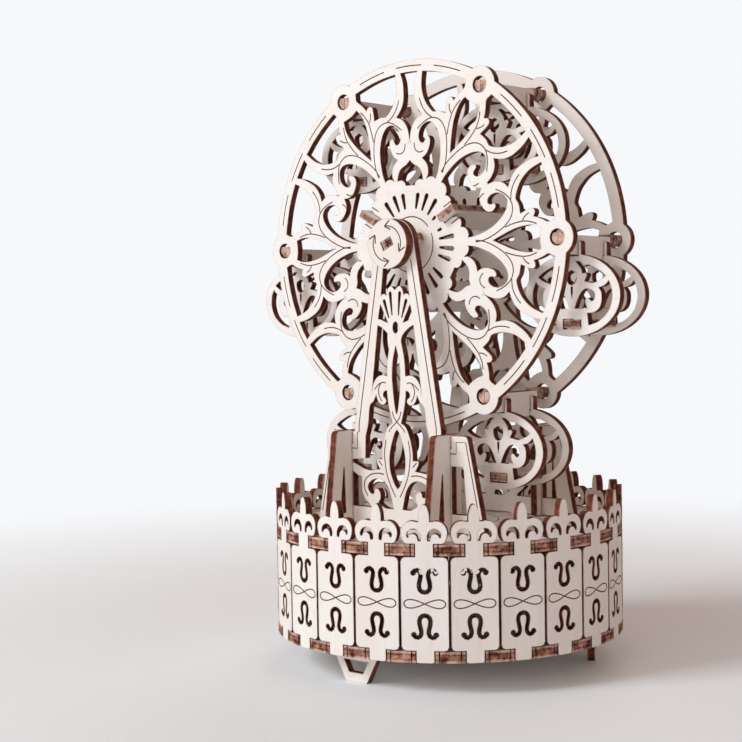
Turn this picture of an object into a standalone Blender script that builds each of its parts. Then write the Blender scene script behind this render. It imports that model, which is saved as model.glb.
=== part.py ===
"""Hand-turned ferris wheel toy, cut from plywood sheet and slotted together.

Metres, +Z up. The wheel turns about the Y axis, its front (the knob) faces -Y,
and the origin is on the table under the middle of the drum.

Every flat piece is drawn in its own plane and raised by its sheet's thickness.
A table of shares is a drawing on squared paper: the piece says how wide and
how high one square is, so the drawing follows the sizes around it.
"""

import math

import bmesh
import bpy
from mathutils import Matrix, Vector
from mathutils.geometry import delaunay_2d_cdt

# Driving dimensions: sheet and fits
FINE_SHEET = 0.0022
BASE_SHEET = 0.0030
FIT = 0.0003
OVERRUN = 0.0010
MERGE = 0.0000005
STRAIGHT = 0.004

# Drum: two discs joined by a ring of panels
FOOT_HEIGHT = 0.0090
DRUM_GAP = 0.0257
DRUM_RADIUS = 0.0516
PANEL_COUNT = 24
PANEL_SEAM = 0.00086
PANEL_CORNER = 0.0012
NECK_WIDTH = 0.0048
CREST_HEIGHT = 0.0103
FRET_CUT = 0.0013

# Feet under the drum
FOOT_COUNT = 3
FOOT_INSET = 0.0085
FOOT_HALF_BOTTOM = 0.0038
FOOT_HALF_TOP = 0.0084
FOOT_BAND = 0.0026
FOOT_TAB_HALF = 0.0030

# Wheel
PIN_RADIUS = 0.0500
CABIN_COUNT = 6
RIM_LEDGE = 0.0031
BOSS_RADIUS = 0.0051
WHEEL_REACH = 0.0159
SLIT_INNER = 0.0104
SLIT_OUTER = 0.0158
SLIT_WIDTH = 0.0012

# Vanes that hold the two wheel plates apart
VANE_COUNT = 3
VANE_INNER = 0.0105
VANE_OUTER = 0.0196
VANE_TAB_INNER = 0.0136
VANE_TAB_OUT = 0.0024

# Axle strip and knob
AXLE_WIDTH = 0.0046
AXLE_TILT = math.radians(25)
SHOULDER_HALF = 0.0050
BARB_OUT = 0.0010
BARB_LENGTH = 0.0024
TAIL_SLIT = 0.0016
TAIL_SLIT_LENGTH = 0.0140
TENON_SLIT = 0.0006
TENON_SLIT_LENGTH = 0.0060
KNOB_RADIUS = 0.0071

# Pylons, above their sole on the deck
PYLON_REACH = 0.0236
HEAD_RADIUS = 0.0072
WAIST_HALF = 0.0159
SHOULDER_TOP = 0.0270
PYLON_SHOULDER_HALF = 0.0251
PYLON_FOOT_HALF = 0.0306
PYLON_CORNER = 0.0012
PYLON_TAB_PLACES = (0.0095, 0.0272)
PYLON_TAB_HALF = 0.0022
LAP_DEPTH = 0.0035

# Buttresses, measured outwards from the pylon's face
BUTTRESS_PLACE = 0.01805
BUTTRESS_FOOT = 0.0103
BUTTRESS_TOP = 0.0067
BUTTRESS_BACK = 0.0024
BUTTRESS_CORNER = 0.0012
BUTTRESS_TAB_START = 0.0034
BUTTRESS_TAB = 0.0050
BUTTRESS_SLOT_START = 0.0032
BUTTRESS_SLOT_WIDTH = 0.0025
BUTTRESS_SLOT_LEAN = 0.0007
BUTTRESS_SLOT_BOTTOM = 0.0033
BUTTRESS_SLOT_TOP = 0.0168

# Cabins, measured from the pin they hang on
CABIN_HALF_WIDTH = 0.0151
CABIN_HALF_HEIGHT = 0.0112
CABIN_DROP = 0.0156
CABIN_CLEARANCE = 0.0045
CABIN_FRONT = 0.0090
CABIN_DEPTH = 0.0153
CABIN_NECK_HALF = 0.0033
CABIN_NECK_TOP = 0.0009
HANGER_WIDTH = 0.0040
HANGER_TOP = 0.0006
HANGER_BOTTOM = 0.0047
HANGER_DIP = 0.0019
HANGER_NOSE = 0.0039
HANGER_TAIL = 0.0016
PIN_DIAMETER = 0.0040
PIN_INSET = 0.0005
FLOOR_DROP = 0.0222
FLOOR_HALF_WIDTH = 0.0060
FLOOR_TAB_HALF = 0.0026

# Facets of round shapes
RIM_FACETS = 42
HOLE_FACETS = 8
BORE_FACETS = 12
CABIN_FACETS = 18
KNOB_FACETS = 28

# Wheel drawing, on the spoke from hub to pin: (out, aside)
PIN_SQUARES = 50
TEAR_SHARES = ((29.0, 0.0), (34.8, 2.6), (40.5, 3.8), (44.9, 2.9))
# Wheel drawing, on the line midway between two spokes: (aside, out)
RIM_EYE_SHARES = (
    (4.8, 49.2), (12.0, 48.1), (20.1, 45.2), (17.6, 40.9), (14.2, 40.8), (13.1, 36.5),
    (8.8, 37.3), (5.1, 42.6),
)
RIM_TIP_SHARES = ((3.1, 49.3), (2.0, 43.0), (4.8, 36.8), (0.0, 30.8))
SCROLL_SHARES = (
    (9.1, 17.9), (11.1, 23.9), (11.0, 29.6), (8.4, 34.6), (4.4, 33.7), (3.8, 29.2),
    (6.7, 30.7),
)
LEG_SHARES = ((6.6, 26.4), (4.4, 24.6), (6.4, 22.2), (5.9, 17.4))
BULB_SHARES = ((5.4, 26.6), (2.0, 26.8), (0.0, 29.1))
ARCH_SHARES = ((0.0, 24.3), (4.2, 21.4), (4.8, 17.4))
HUB_EDGE_SHARES = ((1.7, 17.0), (3.1, 18.9), (5.2, 17.6), (7.6, 19.4), (9.5, 17.3))
SLIT_TURN_SHARES = (-0.55, -0.2, 0.2, 0.55)

# Panel drawing, from the middle of its body: (aside, up)
PANEL_WIDE_SQUARES = 6.3
PANEL_HIGH_SQUARES = 25.7
OMEGA_SHARES = ((3.2, 7.8), (1.8, 9.1), (1.2, 3.6))
# Crest drawing, up from its underside: (aside, up)
CREST_SQUARES = 10.3
CREST_SHARES = ((5.4, 0.0), (6.3, 2.7), (5.0, 5.4), (1.5, 5.6), (0.6, 10.3))
CRESCENT_SHARES = ((0.9, 3.2), (3.6, 4.1), (4.7, 1.8), (2.4, 2.6), (0.9, 1.2))

# Pylon drawing, up from its sole on the middle line: (aside, up)
PYLON_WIDE_SQUARES = 30.6
PYLON_HIGH_SQUARES = 81
HEAD_EYE_SHARES = ((0.0, 74.3), (4.3, 74.3), (5.3, 66.2), (3.3, 66.4), (1.6, 69.0), (0.0, 67.9))
FAN_SLIT_SHARES = (
    ((1.35, 67.3), (2.25, 67.1), (1.2, 60.6)),
    ((3.6, 65.1), (4.6, 64.8), (2.3, 60.0)),
)
FAN_SIDE_SHARES = ((5.5, 63.9), (6.3, 59.7), (2.6, 58.5))
EYELET_SHARES = ((0.0, 58.9), (1.05, 57.2), (0.0, 55.5))
UPPER_SIDE_SHARES = ((6.6, 57.9), (3.8, 56.3), (2.0, 53.4), (3.4, 43.3), (6.6, 43.3),
                     (9.0, 39.8))
UPPER_ALMOND_SHARES = ((0.0, 52.2), (1.5, 44.5), (1.2, 37.5), (0.0, 32.4))
LEAF_SHARES = (
    (4.2, 39.2), (3.8, 36.2), (5.4, 35.0), (7.4, 37.2), (10.0, 35.0),
    (11.8, 25.7), (11.9, 19.2), (16.8, 18.8), (12.4, 16.2), (6.4, 16.3), (7.7, 19.3),
    (5.7, 19.3), (5.1, 24.3), (1.6, 29.8), (2.8, 34.0),
)
LOWER_ALMOND_SHARES = ((0.0, 28.1), (1.9, 24.6), (2.9, 19.8), (2.4, 14.6), (0.0, 10.9))
SPIRAL_EYE_SHARES = (
    (1.6, 5.1), (3.4, 11.3), (7.2, 13.7), (11.2, 11.3), (9.5, 8.9), (8.2, 10.6),
    (6.5, 9.4), (6.4, 5.1),
)
ARM_EYE_SHARES = ((16.8, 15.3), (13.6, 13.9), (13.2, 8.7), (10.0, 5.1), (16.8, 5.1))
WINDOW_SHARES = ((19.4, 18.5), (23.5, 18.5), (24.5, 5.1), (19.4, 5.1))

# Cabin drawing, from the middle of its oval: (aside, up)
CABIN_WIDE_SQUARES = 15.1
CABIN_HIGH_SQUARES = 11.2
CABIN_TOP_SHARES = ((1.4, 9.2), (8.0, 6.9), (10.9, 5.0), (5.2, 3.1), (4.3, 5.8))
CABIN_SIDE_SHARES = ((8.4, 2.0), (11.6, 3.9), (12.7, -0.4), (10.4, -5.7), (5.2, -8.2),
                     (4.9, -4.8), (8.6, -3.5))
CABIN_EYE_SHARES = ((1.0, -3.4), (3.4, 1.4), (7.4, 0.8), (4.4, -1.4), (4.6, -3.5))
CABIN_HEART_SHARES = ((0.0, 6.9), (1.7, 5.2), (0.0, 2.7))

# Derived places
base_top = FOOT_HEIGHT + BASE_SHEET
deck_bottom = base_top + DRUM_GAP
deck_top = deck_bottom + BASE_SHEET
half_pitch = math.pi / PANEL_COUNT
panel_outer = DRUM_RADIUS * math.cos(half_pitch)
panel_inner = panel_outer - FINE_SHEET
panel_half_width = DRUM_RADIUS * math.sin(half_pitch) - PANEL_SEAM / 2
foot_reach = DRUM_RADIUS - FOOT_INSET
foot_inner = foot_reach - FINE_SHEET
sector = 2 * math.pi / CABIN_COUNT
wheel_inner = WHEEL_REACH - FINE_SHEET
pylon_inner = PYLON_REACH - FINE_SHEET
# The lowest cabin passes just above the deck.
hub_height = deck_top + CABIN_CLEARANCE + CABIN_HALF_HEIGHT + CABIN_DROP + PIN_RADIUS
sole = deck_top + FIT
pylon_rise = hub_height - sole
knob_back = PYLON_REACH + FIT
knob_front = knob_back + BASE_SHEET
axle_bore = math.hypot(AXLE_WIDTH, BASE_SHEET) / 2 + FIT
pin_bore = PIN_DIAMETER / 2 + FIT
cabin_rear = CABIN_DEPTH - CABIN_FRONT


def squares(shares, wide, high):
    """A table of shares as points, for squares of this width and height."""
    return [(x * wide, y * high) for x, y in shares]


def mirrored(points):
    """A loop from its right half, which starts and ends on or across the middle line."""
    return list(points) + [(-x, y) for x, y in reversed(points) if x != 0]


def flipped(points):
    return [(-x, y) for x, y in reversed(points)]


def upside_down(points):
    return [(x, -y) for x, y in reversed(points)]


def turned(points, angle):
    cos, sin = math.cos(angle), math.sin(angle)
    return [(x * cos - y * sin, x * sin + y * cos) for x, y in points]


def moved(points, aside, up):
    return [(x + aside, y + up) for x, y in points]


def circle(radius, facets, start=0.0):
    step = 2 * math.pi / facets
    return [(radius * math.cos(start + i * step), radius * math.sin(start + i * step))
            for i in range(facets)]


def rectangle(x0, y0, x1, y1):
    return [(x0, y0), (x1, y0), (x1, y1), (x0, y1)]


def centred_rectangle(width, height):
    return rectangle(-width / 2, -height / 2, width / 2, height / 2)


def ribbon(path, width):
    """The outline of a cut that follows a path and comes to a point at both ends."""
    left, right = [], []
    for before, here, after in zip(path, path[1:], path[2:]):
        to_here, onward = Vector(here) - Vector(before), Vector(after) - Vector(here)
        along = (to_here.normalized() + onward.normalized()).normalized()
        across = Vector((-along.y, along.x)) * width / 2
        left.append(tuple(Vector(here) + across))
        right.append(tuple(Vector(here) - across))
    return [path[0], *left, path[-1], *reversed(right)]


def inside_loop(point, loop):
    px, py = point
    turns = 0
    for (x0, y0), (x1, y1) in zip(loop, loop[1:] + loop[:1]):
        side = (x1 - x0) * (py - y0) - (px - x0) * (y1 - y0)
        if y0 <= py < y1 and side > 0:
            turns += 1
        elif y1 <= py < y0 and side < 0:
            turns -= 1
    return turns != 0


def in_sheet(point, layers):
    """Layers are sets of loops, by turns added and cut away, each over those before it."""
    kept = False
    for i, loops in enumerate(layers):
        if any(inside_loop(point, loop) for loop in loops):
            kept = i % 2 == 0
    return kept


def triangles(points, edges, layers):
    """Triangles that respect the edges, where the layers leave sheet."""
    found = delaunay_2d_cdt([Vector(p) for p in points], edges, [], 0, MERGE)
    corners = [tuple(p) for p in found[0]]
    kept = []
    for face in found[2]:
        middle = [sum(corners[i][axis] for i in face) / len(face) for axis in (0, 1)]
        if in_sheet(middle, layers):
            kept.append(tuple(face))
    return corners, kept


def border_of(faces):
    sides = {side for face in faces for side in zip(face, face[1:] + face[:1])}
    return sorted((a, b) for a, b in sides if (b, a) not in sides)


def straightened(border, corners):
    """The border without the points that lie on a straight stretch of it."""
    after, before = dict(border), {b: a for a, b in border}
    for here in sorted(after):
        a, b = before[here], after[here]
        to_here = Vector(corners[here]) - Vector(corners[a])
        onward = Vector(corners[b]) - Vector(corners[here])
        if abs(to_here.normalized().cross(onward.normalized())) < STRAIGHT:
            after[a], before[b] = b, a
            del after[here], before[here]
    return sorted(after.items())


def cut_sheet(layers):
    """Corners, triangles and border of the area that the layers leave."""
    points, edges = [], []
    for loop in [loop for loops in layers for loop in loops]:
        first = len(points)
        points += loop
        edges += [(first + i, first + (i + 1) % len(loop)) for i in range(len(loop))]
    corners, faces = triangles(points, edges, layers)
    # A second pass over the border alone leaves no point inside the sheet.
    border = straightened(border_of(faces), corners)
    used = sorted({i for edge in border for i in edge})
    new = {old: i for i, old in enumerate(used)}
    corners, faces = triangles([corners[i] for i in used],
                               [(new[a], new[b]) for a, b in border], layers)
    return corners, faces, border_of(faces)


def sheet_mesh(name, layers, thickness, look, start=0.0):
    """A flat piece between two levels of its drawing's normal."""
    corners, faces, border = cut_sheet(layers)
    build = bmesh.new()
    low = [build.verts.new((x, y, start)) for x, y in corners]
    high = [build.verts.new((x, y, start + thickness)) for x, y in corners]
    for face in faces:
        build.faces.new([high[i] for i in face])
        build.faces.new([low[i] for i in reversed(face)])
    for a, b in border:
        build.faces.new((low[a], low[b], high[b], high[a])).material_index = 1
    for vertex in [v for v in build.verts if not v.link_faces]:
        build.verts.remove(vertex)
    return finished(name, build, look)


def finished(name, build, look):
    mesh = bpy.data.meshes.new(name)
    build.to_mesh(mesh)
    build.free()
    for material in look:
        mesh.materials.append(material)
    mesh.shade_smooth()
    mesh.set_sharp_from_angle(angle=math.radians(35))
    return mesh


def joined(first, second, frame):
    """One mesh from two that overlap, the second one moved by the frame."""
    base = place("join_base", first, Matrix())
    other = place("join_other", second, frame)
    union = base.modifiers.new("union", "BOOLEAN")
    union.operation = "UNION"
    union.solver = "EXACT"
    union.object = other
    graph = bpy.context.evaluated_depsgraph_get()
    mesh = bpy.data.meshes.new_from_object(base.evaluated_get(graph))
    for item in (base, other):
        bpy.data.objects.remove(item)
    mesh.set_sharp_from_angle(angle=math.radians(35))
    return mesh


def place(name, mesh, frame):
    """An object of its own for a mesh, with its origin at the frame's."""
    item = bpy.data.objects.new(name, mesh)
    bpy.context.scene.collection.objects.link(item)
    item.matrix_world = frame
    return item


def frame_of(origin, right, up):
    """A drawing plane: its X runs right, its Y runs up and its Z is their normal."""
    right, up = Vector(right), Vector(up)
    turn = Matrix((right, up, right.cross(up))).transposed().to_4x4()
    return Matrix.Translation(origin) @ turn


def seen_from_front(x, y, z):
    return frame_of((x, y, z), (1, 0, 0), (0, 0, 1))


def facing_out(radius, height, angle):
    """The plane of a sheet that faces outwards, at an angle counted from the front."""
    out = Vector((math.sin(angle), -math.cos(angle), 0))
    return frame_of(out * radius + Vector((0, 0, height)),
                    (math.cos(angle), math.sin(angle), 0), (0, 0, 1))


def plain_material(name, colour, roughness):
    material = bpy.data.materials.new(name)
    material.use_nodes = True
    shader = material.node_tree.nodes["Principled BSDF"]
    shader.inputs["Base Color"].default_value = (*colour, 1)
    shader.inputs["Roughness"].default_value = roughness
    shader.inputs["Metallic"].default_value = 0
    return material


def burnt_edge():
    return plain_material("burnt_edge", (0.20, 0.09, 0.05), 0.8)


def disc_birch():
    return plain_material("disc_birch", (0.80, 0.71, 0.58), 0.55)


def panel_birch():
    return plain_material("panel_birch", (0.83, 0.75, 0.63), 0.6)


def pylon_birch():
    return plain_material("pylon_birch", (0.84, 0.77, 0.66), 0.58)


def wheel_birch():
    return plain_material("wheel_birch", (0.86, 0.80, 0.69), 0.57)


def cabin_birch():
    return plain_material("cabin_birch", (0.85, 0.78, 0.66), 0.6)


def axle_birch():
    return plain_material("axle_birch", (0.78, 0.67, 0.52), 0.5)


def notched_disc():
    """A disc with a notch in its edge for the neck of every panel."""
    half_slot = NECK_WIDTH / 2 + FIT
    floor = panel_inner - FIT
    notch = [(panel_outer, -half_slot), (floor, -half_slot), (floor, half_slot),
             (panel_outer, half_slot)]
    loop = []
    for i in range(PANEL_COUNT):
        loop += turned(notch, 2 * half_pitch * i - math.pi / 2)
    return loop


def foot_angles():
    return [2 * math.pi * i / FOOT_COUNT for i in range(FOOT_COUNT)]


def base_disc_mesh(look):
    half = FOOT_TAB_HALF + FIT
    slot = rectangle(-half, -foot_reach - FIT, half, FIT - foot_inner)
    slots = [turned(slot, angle) for angle in foot_angles()]
    return sheet_mesh("base_disc", [[notched_disc()], slots], BASE_SHEET, look)


def deck_disc_mesh(look):
    half = PYLON_TAB_HALF + FIT
    slots = [rectangle(x - half, pylon_inner - FIT, x + half, PYLON_REACH + FIT)
             for x in PYLON_TAB_PLACES]
    half = FINE_SHEET / 2 + FIT
    start = PYLON_REACH + BUTTRESS_TAB_START
    slots.append(rectangle(BUTTRESS_PLACE - half, start - FIT,
                           BUTTRESS_PLACE + half, start + BUTTRESS_TAB + FIT))
    slots += [flipped(loop) for loop in slots]
    slots += [turned(loop, math.pi) for loop in slots]
    return sheet_mesh("deck_disc", [[notched_disc()], slots], BASE_SHEET, look)


def panel_mesh(look):
    wide = panel_half_width / PANEL_WIDE_SQUARES
    high = DRUM_GAP / PANEL_HIGH_SQUARES
    half = DRUM_GAP / 2
    neck = NECK_WIDTH / 2
    level = half - FIT
    side = panel_half_width
    body = mirrored([
        (side - PANEL_CORNER, level), (side, level - PANEL_CORNER),
        (side, PANEL_CORNER - level), (side - PANEL_CORNER, -level),
    ])
    crest_bottom = half + BASE_SHEET + FIT
    stem = rectangle(-neck, -half - BASE_SHEET, neck, crest_bottom + FIT)

    crest_square = CREST_HEIGHT / CREST_SQUARES
    crest = mirrored(squares(CREST_SHARES, wide, crest_square))
    crescent = moved(squares(CRESCENT_SHARES, wide, crest_square), 0, crest_bottom)
    path = squares(OMEGA_SHARES, wide, high)
    omega = ribbon(path + flipped(path), FRET_CUT)
    cuts = [omega, upside_down(omega), crescent, flipped(crescent)]
    solid = [body, stem, moved(crest, 0, crest_bottom)]
    return sheet_mesh("drum_panel", [solid, cuts], FINE_SHEET, look)


def foot_mesh(look):
    top = FOOT_HEIGHT - FIT
    outside = mirrored([(FOOT_HALF_TOP, top), (FOOT_HALF_BOTTOM, 0)])
    tab = rectangle(-FOOT_TAB_HALF, top - OVERRUN, FOOT_TAB_HALF, base_top)
    # The window's sides run along the foot's own.
    drawn_in = FOOT_BAND * (FOOT_HALF_TOP - FOOT_HALF_BOTTOM) / top
    window = mirrored([(FOOT_HALF_TOP - FOOT_BAND - drawn_in, top - FOOT_BAND),
                       (FOOT_HALF_BOTTOM - FOOT_BAND + drawn_in, FOOT_BAND)])
    return sheet_mesh("foot", [[outside, tab], [window]], FINE_SHEET, look)


def pylon_mesh(look):
    wide = PYLON_FOOT_HALF / PYLON_WIDE_SQUARES
    high = pylon_rise / PYLON_HIGH_SQUARES
    outside = mirrored([
        (HEAD_RADIUS, pylon_rise), (WAIST_HALF, SHOULDER_TOP),
        (PYLON_SHOULDER_HALF - PYLON_CORNER, SHOULDER_TOP),
        (PYLON_SHOULDER_HALF, SHOULDER_TOP - PYLON_CORNER), (PYLON_FOOT_HALF, 0),
    ])
    head = moved(circle(HEAD_RADIUS, 2 * BORE_FACETS), 0, pylon_rise)
    tabs = [rectangle(x - PYLON_TAB_HALF, -BASE_SHEET, x + PYLON_TAB_HALF, OVERRUN)
            for x in PYLON_TAB_PLACES]
    solid = [outside, head, *tabs, *[flipped(tab) for tab in tabs]]

    half_lap = FINE_SHEET / 2 + FIT
    lap = rectangle(BUTTRESS_PLACE - half_lap, SHOULDER_TOP - LAP_DEPTH,
                    BUTTRESS_PLACE + half_lap, SHOULDER_TOP + OVERRUN)
    one_side = (FAN_SIDE_SHARES, UPPER_SIDE_SHARES, LEAF_SHARES, SPIRAL_EYE_SHARES,
                ARM_EYE_SHARES, WINDOW_SHARES, *FAN_SLIT_SHARES)
    cuts = [squares(shares, wide, high) for shares in one_side] + [lap]
    cuts += [flipped(loop) for loop in cuts]
    for shares in (HEAD_EYE_SHARES, EYELET_SHARES, UPPER_ALMOND_SHARES, LOWER_ALMOND_SHARES):
        cuts.append(mirrored(squares(shares, wide, high)))
    cuts.append(moved(circle(axle_bore, BORE_FACETS), 0, pylon_rise))
    return sheet_mesh("pylon", [solid, cuts], FINE_SHEET, look)


def buttress_mesh(look):
    """Drawn with the pylon's face on the middle line and outwards to the right."""
    top = SHOULDER_TOP + FIT
    back = FINE_SHEET + FIT + BUTTRESS_BACK
    outside = [
        (-back, 0), (BUTTRESS_FOOT, 0), (BUTTRESS_TOP, top - BUTTRESS_CORNER),
        (BUTTRESS_TOP - BUTTRESS_CORNER, top), (-back, top),
    ]
    tab = rectangle(BUTTRESS_TAB_START, -BASE_SHEET, BUTTRESS_TAB_START + BUTTRESS_TAB, OVERRUN)
    lap = rectangle(-FINE_SHEET - FIT, -OVERRUN, FIT, SHOULDER_TOP - LAP_DEPTH + FIT)
    slot = [
        (BUTTRESS_SLOT_START, BUTTRESS_SLOT_BOTTOM),
        (BUTTRESS_SLOT_START + BUTTRESS_SLOT_WIDTH, BUTTRESS_SLOT_BOTTOM),
        (BUTTRESS_SLOT_START + BUTTRESS_SLOT_LEAN, BUTTRESS_SLOT_TOP),
    ]
    return sheet_mesh("buttress", [[outside, tab], [lap, slot]], FINE_SHEET, look,
                      -FINE_SHEET / 2)


def axle_section():
    """The hole that holds the axle strip from turning, in the wheel plates and the knob."""
    return turned(centred_rectangle(AXLE_WIDTH + 2 * FIT, BASE_SHEET + 2 * FIT), AXLE_TILT)


def hub_edge(square):
    """The scalloped edge of the hub, the same in every sector."""
    half = squares(HUB_EDGE_SHARES, square, square)
    loop = []
    for i in range(CABIN_COUNT):
        loop += turned(upright_sector(half), sector * i)
    return loop


def upright_sector(half):
    """Both halves of a sector's edge, in the order that goes round the hub."""
    return list(reversed(half)) + [(-x, y) for x, y in half]


def vane_angles():
    """Each vane stands midway between two spokes, one of them straight down."""
    return [2 * math.pi * i / VANE_COUNT - math.pi / 2 for i in range(VANE_COUNT)]


def wheel_mesh(look):
    square = PIN_RADIUS / PIN_SQUARES
    solid = [circle(PIN_RADIUS + RIM_LEDGE, RIM_FACETS)]
    cuts = []
    right_tear = squares(TEAR_SHARES, square, square)
    tear = right_tear + [(x, -y) for x, y in reversed(right_tear) if y != 0]
    for i in range(CABIN_COUNT):
        pin = turned([(PIN_RADIUS, 0)], sector * i)[0]
        solid.append(moved(circle(BOSS_RADIUS, BORE_FACETS), *pin))
        cuts.append(moved(circle(pin_bore, HOLE_FACETS, math.pi / HOLE_FACETS), *pin))
        cuts.append(turned(tear, sector * i))

    # The rest stands upright on the line midway between two spokes before it is turned.
    eye = squares(RIM_EYE_SHARES, square, square)
    tip = mirrored(squares(RIM_TIP_SHARES, square, square))
    scroll = squares(SCROLL_SHARES, square, square)
    leg = squares(LEG_SHARES, square, square)
    bulb = squares(BULB_SHARES, square, square)
    arch = mirrored(squares(ARCH_SHARES, square, square))
    for i in range(CABIN_COUNT):
        loops = [eye, flipped(eye), tip]
        if i % 2 == 0:
            loops += [scroll + leg, flipped(scroll + leg), arch]
        else:
            # Two free bulbs hang over one open space, where a vane passes.
            loops.append(mirrored(scroll + bulb))
        cuts += [turned(loop, sector * i) for loop in loops]

    slit = [(-SLIT_WIDTH / 2, SLIT_OUTER), (0, SLIT_INNER), (SLIT_WIDTH / 2, SLIT_OUTER)]
    half = FINE_SHEET / 2 + FIT
    tab_slot = rectangle(VANE_TAB_INNER - FIT, -half, VANE_OUTER + OVERRUN, half)
    late = [axle_section()]
    for i, angle in enumerate(vane_angles()):
        late.append(turned(tab_slot, angle))
        late += [turned(slit, 2 * sector * i + share * sector) for share in SLIT_TURN_SHARES]
    return sheet_mesh("wheel_plate", [solid, cuts, [hub_edge(square)], late], FINE_SHEET, look)


def vane_mesh(look):
    """Drawn with the hub's axis on the upright middle line and outwards to the right."""
    body_half = wheel_inner - FIT
    tab_half = WHEEL_REACH + VANE_TAB_OUT
    body = rectangle(VANE_INNER, -body_half, VANE_OUTER, body_half)
    tabs = rectangle(VANE_TAB_INNER, -tab_half, VANE_OUTER, tab_half)
    return sheet_mesh("vane", [[body, tabs]], FINE_SHEET, look, -FINE_SHEET / 2)


def axle_mesh(look):
    """Drawn from the barbed rear end up to the knob, with the hub's middle at zero."""
    half = AXLE_WIDTH / 2
    barb_start = PYLON_REACH + FIT
    end = barb_start + BARB_LENGTH
    strip = rectangle(-half, -end, half, knob_front)
    shoulder = rectangle(-SHOULDER_HALF, WHEEL_REACH + FIT, SHOULDER_HALF, pylon_inner - FIT)
    barbs = mirrored([(half + BARB_OUT, -barb_start), (half, -end)])
    tail_slit = rectangle(-TAIL_SLIT / 2, -end - OVERRUN, TAIL_SLIT / 2, TAIL_SLIT_LENGTH - end)
    tenon_slit = rectangle(-TENON_SLIT / 2, knob_front - TENON_SLIT_LENGTH,
                           TENON_SLIT / 2, knob_front + OVERRUN)
    layers = [[strip, shoulder, barbs], [tail_slit, tenon_slit]]
    return sheet_mesh("axle_strip", layers, BASE_SHEET, look, -BASE_SHEET / 2)


def knob_mesh(look):
    outside = circle(KNOB_RADIUS, KNOB_FACETS)
    return sheet_mesh("knob", [[outside], [axle_section()]], BASE_SHEET, look)


def cabin_side_layers(extra_cuts):
    """A cabin's side, with the pin it hangs on at zero."""
    wide = CABIN_HALF_WIDTH / CABIN_WIDE_SQUARES
    high = CABIN_HALF_HEIGHT / CABIN_HIGH_SQUARES
    oval = squares(circle(1, CABIN_FACETS), CABIN_HALF_WIDTH, CABIN_HALF_HEIGHT)
    oval_top = CABIN_HALF_HEIGHT - CABIN_DROP
    neck = rectangle(-CABIN_NECK_HALF, oval_top - OVERRUN, CABIN_NECK_HALF, -CABIN_NECK_TOP)
    cuts = []
    for shares in (CABIN_TOP_SHARES, CABIN_SIDE_SHARES, CABIN_EYE_SHARES):
        loop = squares(shares, wide, high)
        cuts += [loop, flipped(loop)]
    cuts.append(mirrored(squares(CABIN_HEART_SHARES, wide, high)))
    cuts = [moved(loop, 0, -CABIN_DROP) for loop in cuts]
    half = HANGER_WIDTH / 2 + FIT
    cuts.append(rectangle(-half, -HANGER_BOTTOM - FIT, half, OVERRUN - CABIN_NECK_TOP))
    return [[moved(oval, 0, -CABIN_DROP), neck], cuts + extra_cuts]


def cabin_front_mesh(look):
    half = FLOOR_TAB_HALF + FIT
    slot = rectangle(-half, -FLOOR_DROP - FINE_SHEET - FIT, half, FIT - FLOOR_DROP)
    return sheet_mesh("cabin_front", cabin_side_layers([slot]), FINE_SHEET, look)


def cabin_rear_mesh(look):
    """The rear side with the floor glued into it by a tab."""
    side = sheet_mesh("cabin_side", cabin_side_layers([]), FINE_SHEET, look)
    near = FINE_SHEET + FIT
    far = CABIN_DEPTH - near
    board = mirrored([
        (FLOOR_TAB_HALF, FINE_SHEET / 2), (FLOOR_TAB_HALF, near), (FLOOR_HALF_WIDTH, near),
        (FLOOR_HALF_WIDTH, far), (FLOOR_TAB_HALF, far), (FLOOR_TAB_HALF, CABIN_DEPTH),
    ])
    floor = sheet_mesh("cabin_floor", [[board]], FINE_SHEET, look)
    mesh = joined(side, floor, frame_of((0, -FLOOR_DROP, 0), (1, 0, 0), (0, 0, 1)))
    mesh.name = "cabin_rear"
    return mesh


def hanger_mesh(look):
    """Two laminated strips with a turned pin at each end, drawn with the front to the right."""
    front = CABIN_FRONT + HANGER_NOSE
    rear = cabin_rear + HANGER_TAIL
    bar = rectangle(-rear, -HANGER_BOTTOM, front, HANGER_TOP)
    inner = FINE_SHEET + FIT
    dip = rectangle(inner - cabin_rear, -HANGER_BOTTOM - HANGER_DIP, CABIN_FRONT - inner, 0)
    mesh = sheet_mesh("hanger_bar", [[bar, dip]], HANGER_WIDTH, look, -HANGER_WIDTH / 2)
    section = circle(PIN_DIAMETER / 2, HOLE_FACETS, math.pi / HOLE_FACETS)
    reach = WHEEL_REACH - PIN_INSET
    for start, end in ((front - OVERRUN, reach), (-reach, OVERRUN - rear)):
        pin = sheet_mesh("hanger_pin", [[section]], end - start, look)
        mesh = joined(mesh, pin, frame_of((start, 0, 0), (0, 1, 0), (0, 0, 1)))
    mesh.name = "cabin_hanger"
    return mesh


def add_drum(edge):
    disc_look = (disc_birch(), edge)
    place("base_disc", base_disc_mesh(disc_look), Matrix.Translation((0, 0, FOOT_HEIGHT)))
    place("deck_disc", deck_disc_mesh(disc_look), Matrix.Translation((0, 0, deck_bottom)))
    panel_look = (panel_birch(), edge)
    panel = panel_mesh(panel_look)
    for i in range(PANEL_COUNT):
        frame = facing_out(panel_inner, base_top + DRUM_GAP / 2, 2 * half_pitch * i)
        place(f"drum_panel_{i + 1:02d}", panel, frame)
    foot = foot_mesh(panel_look)
    for name, angle in zip(("foot_front", "foot_right", "foot_left"), foot_angles()):
        place(name, foot, facing_out(foot_inner, 0, angle))


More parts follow.
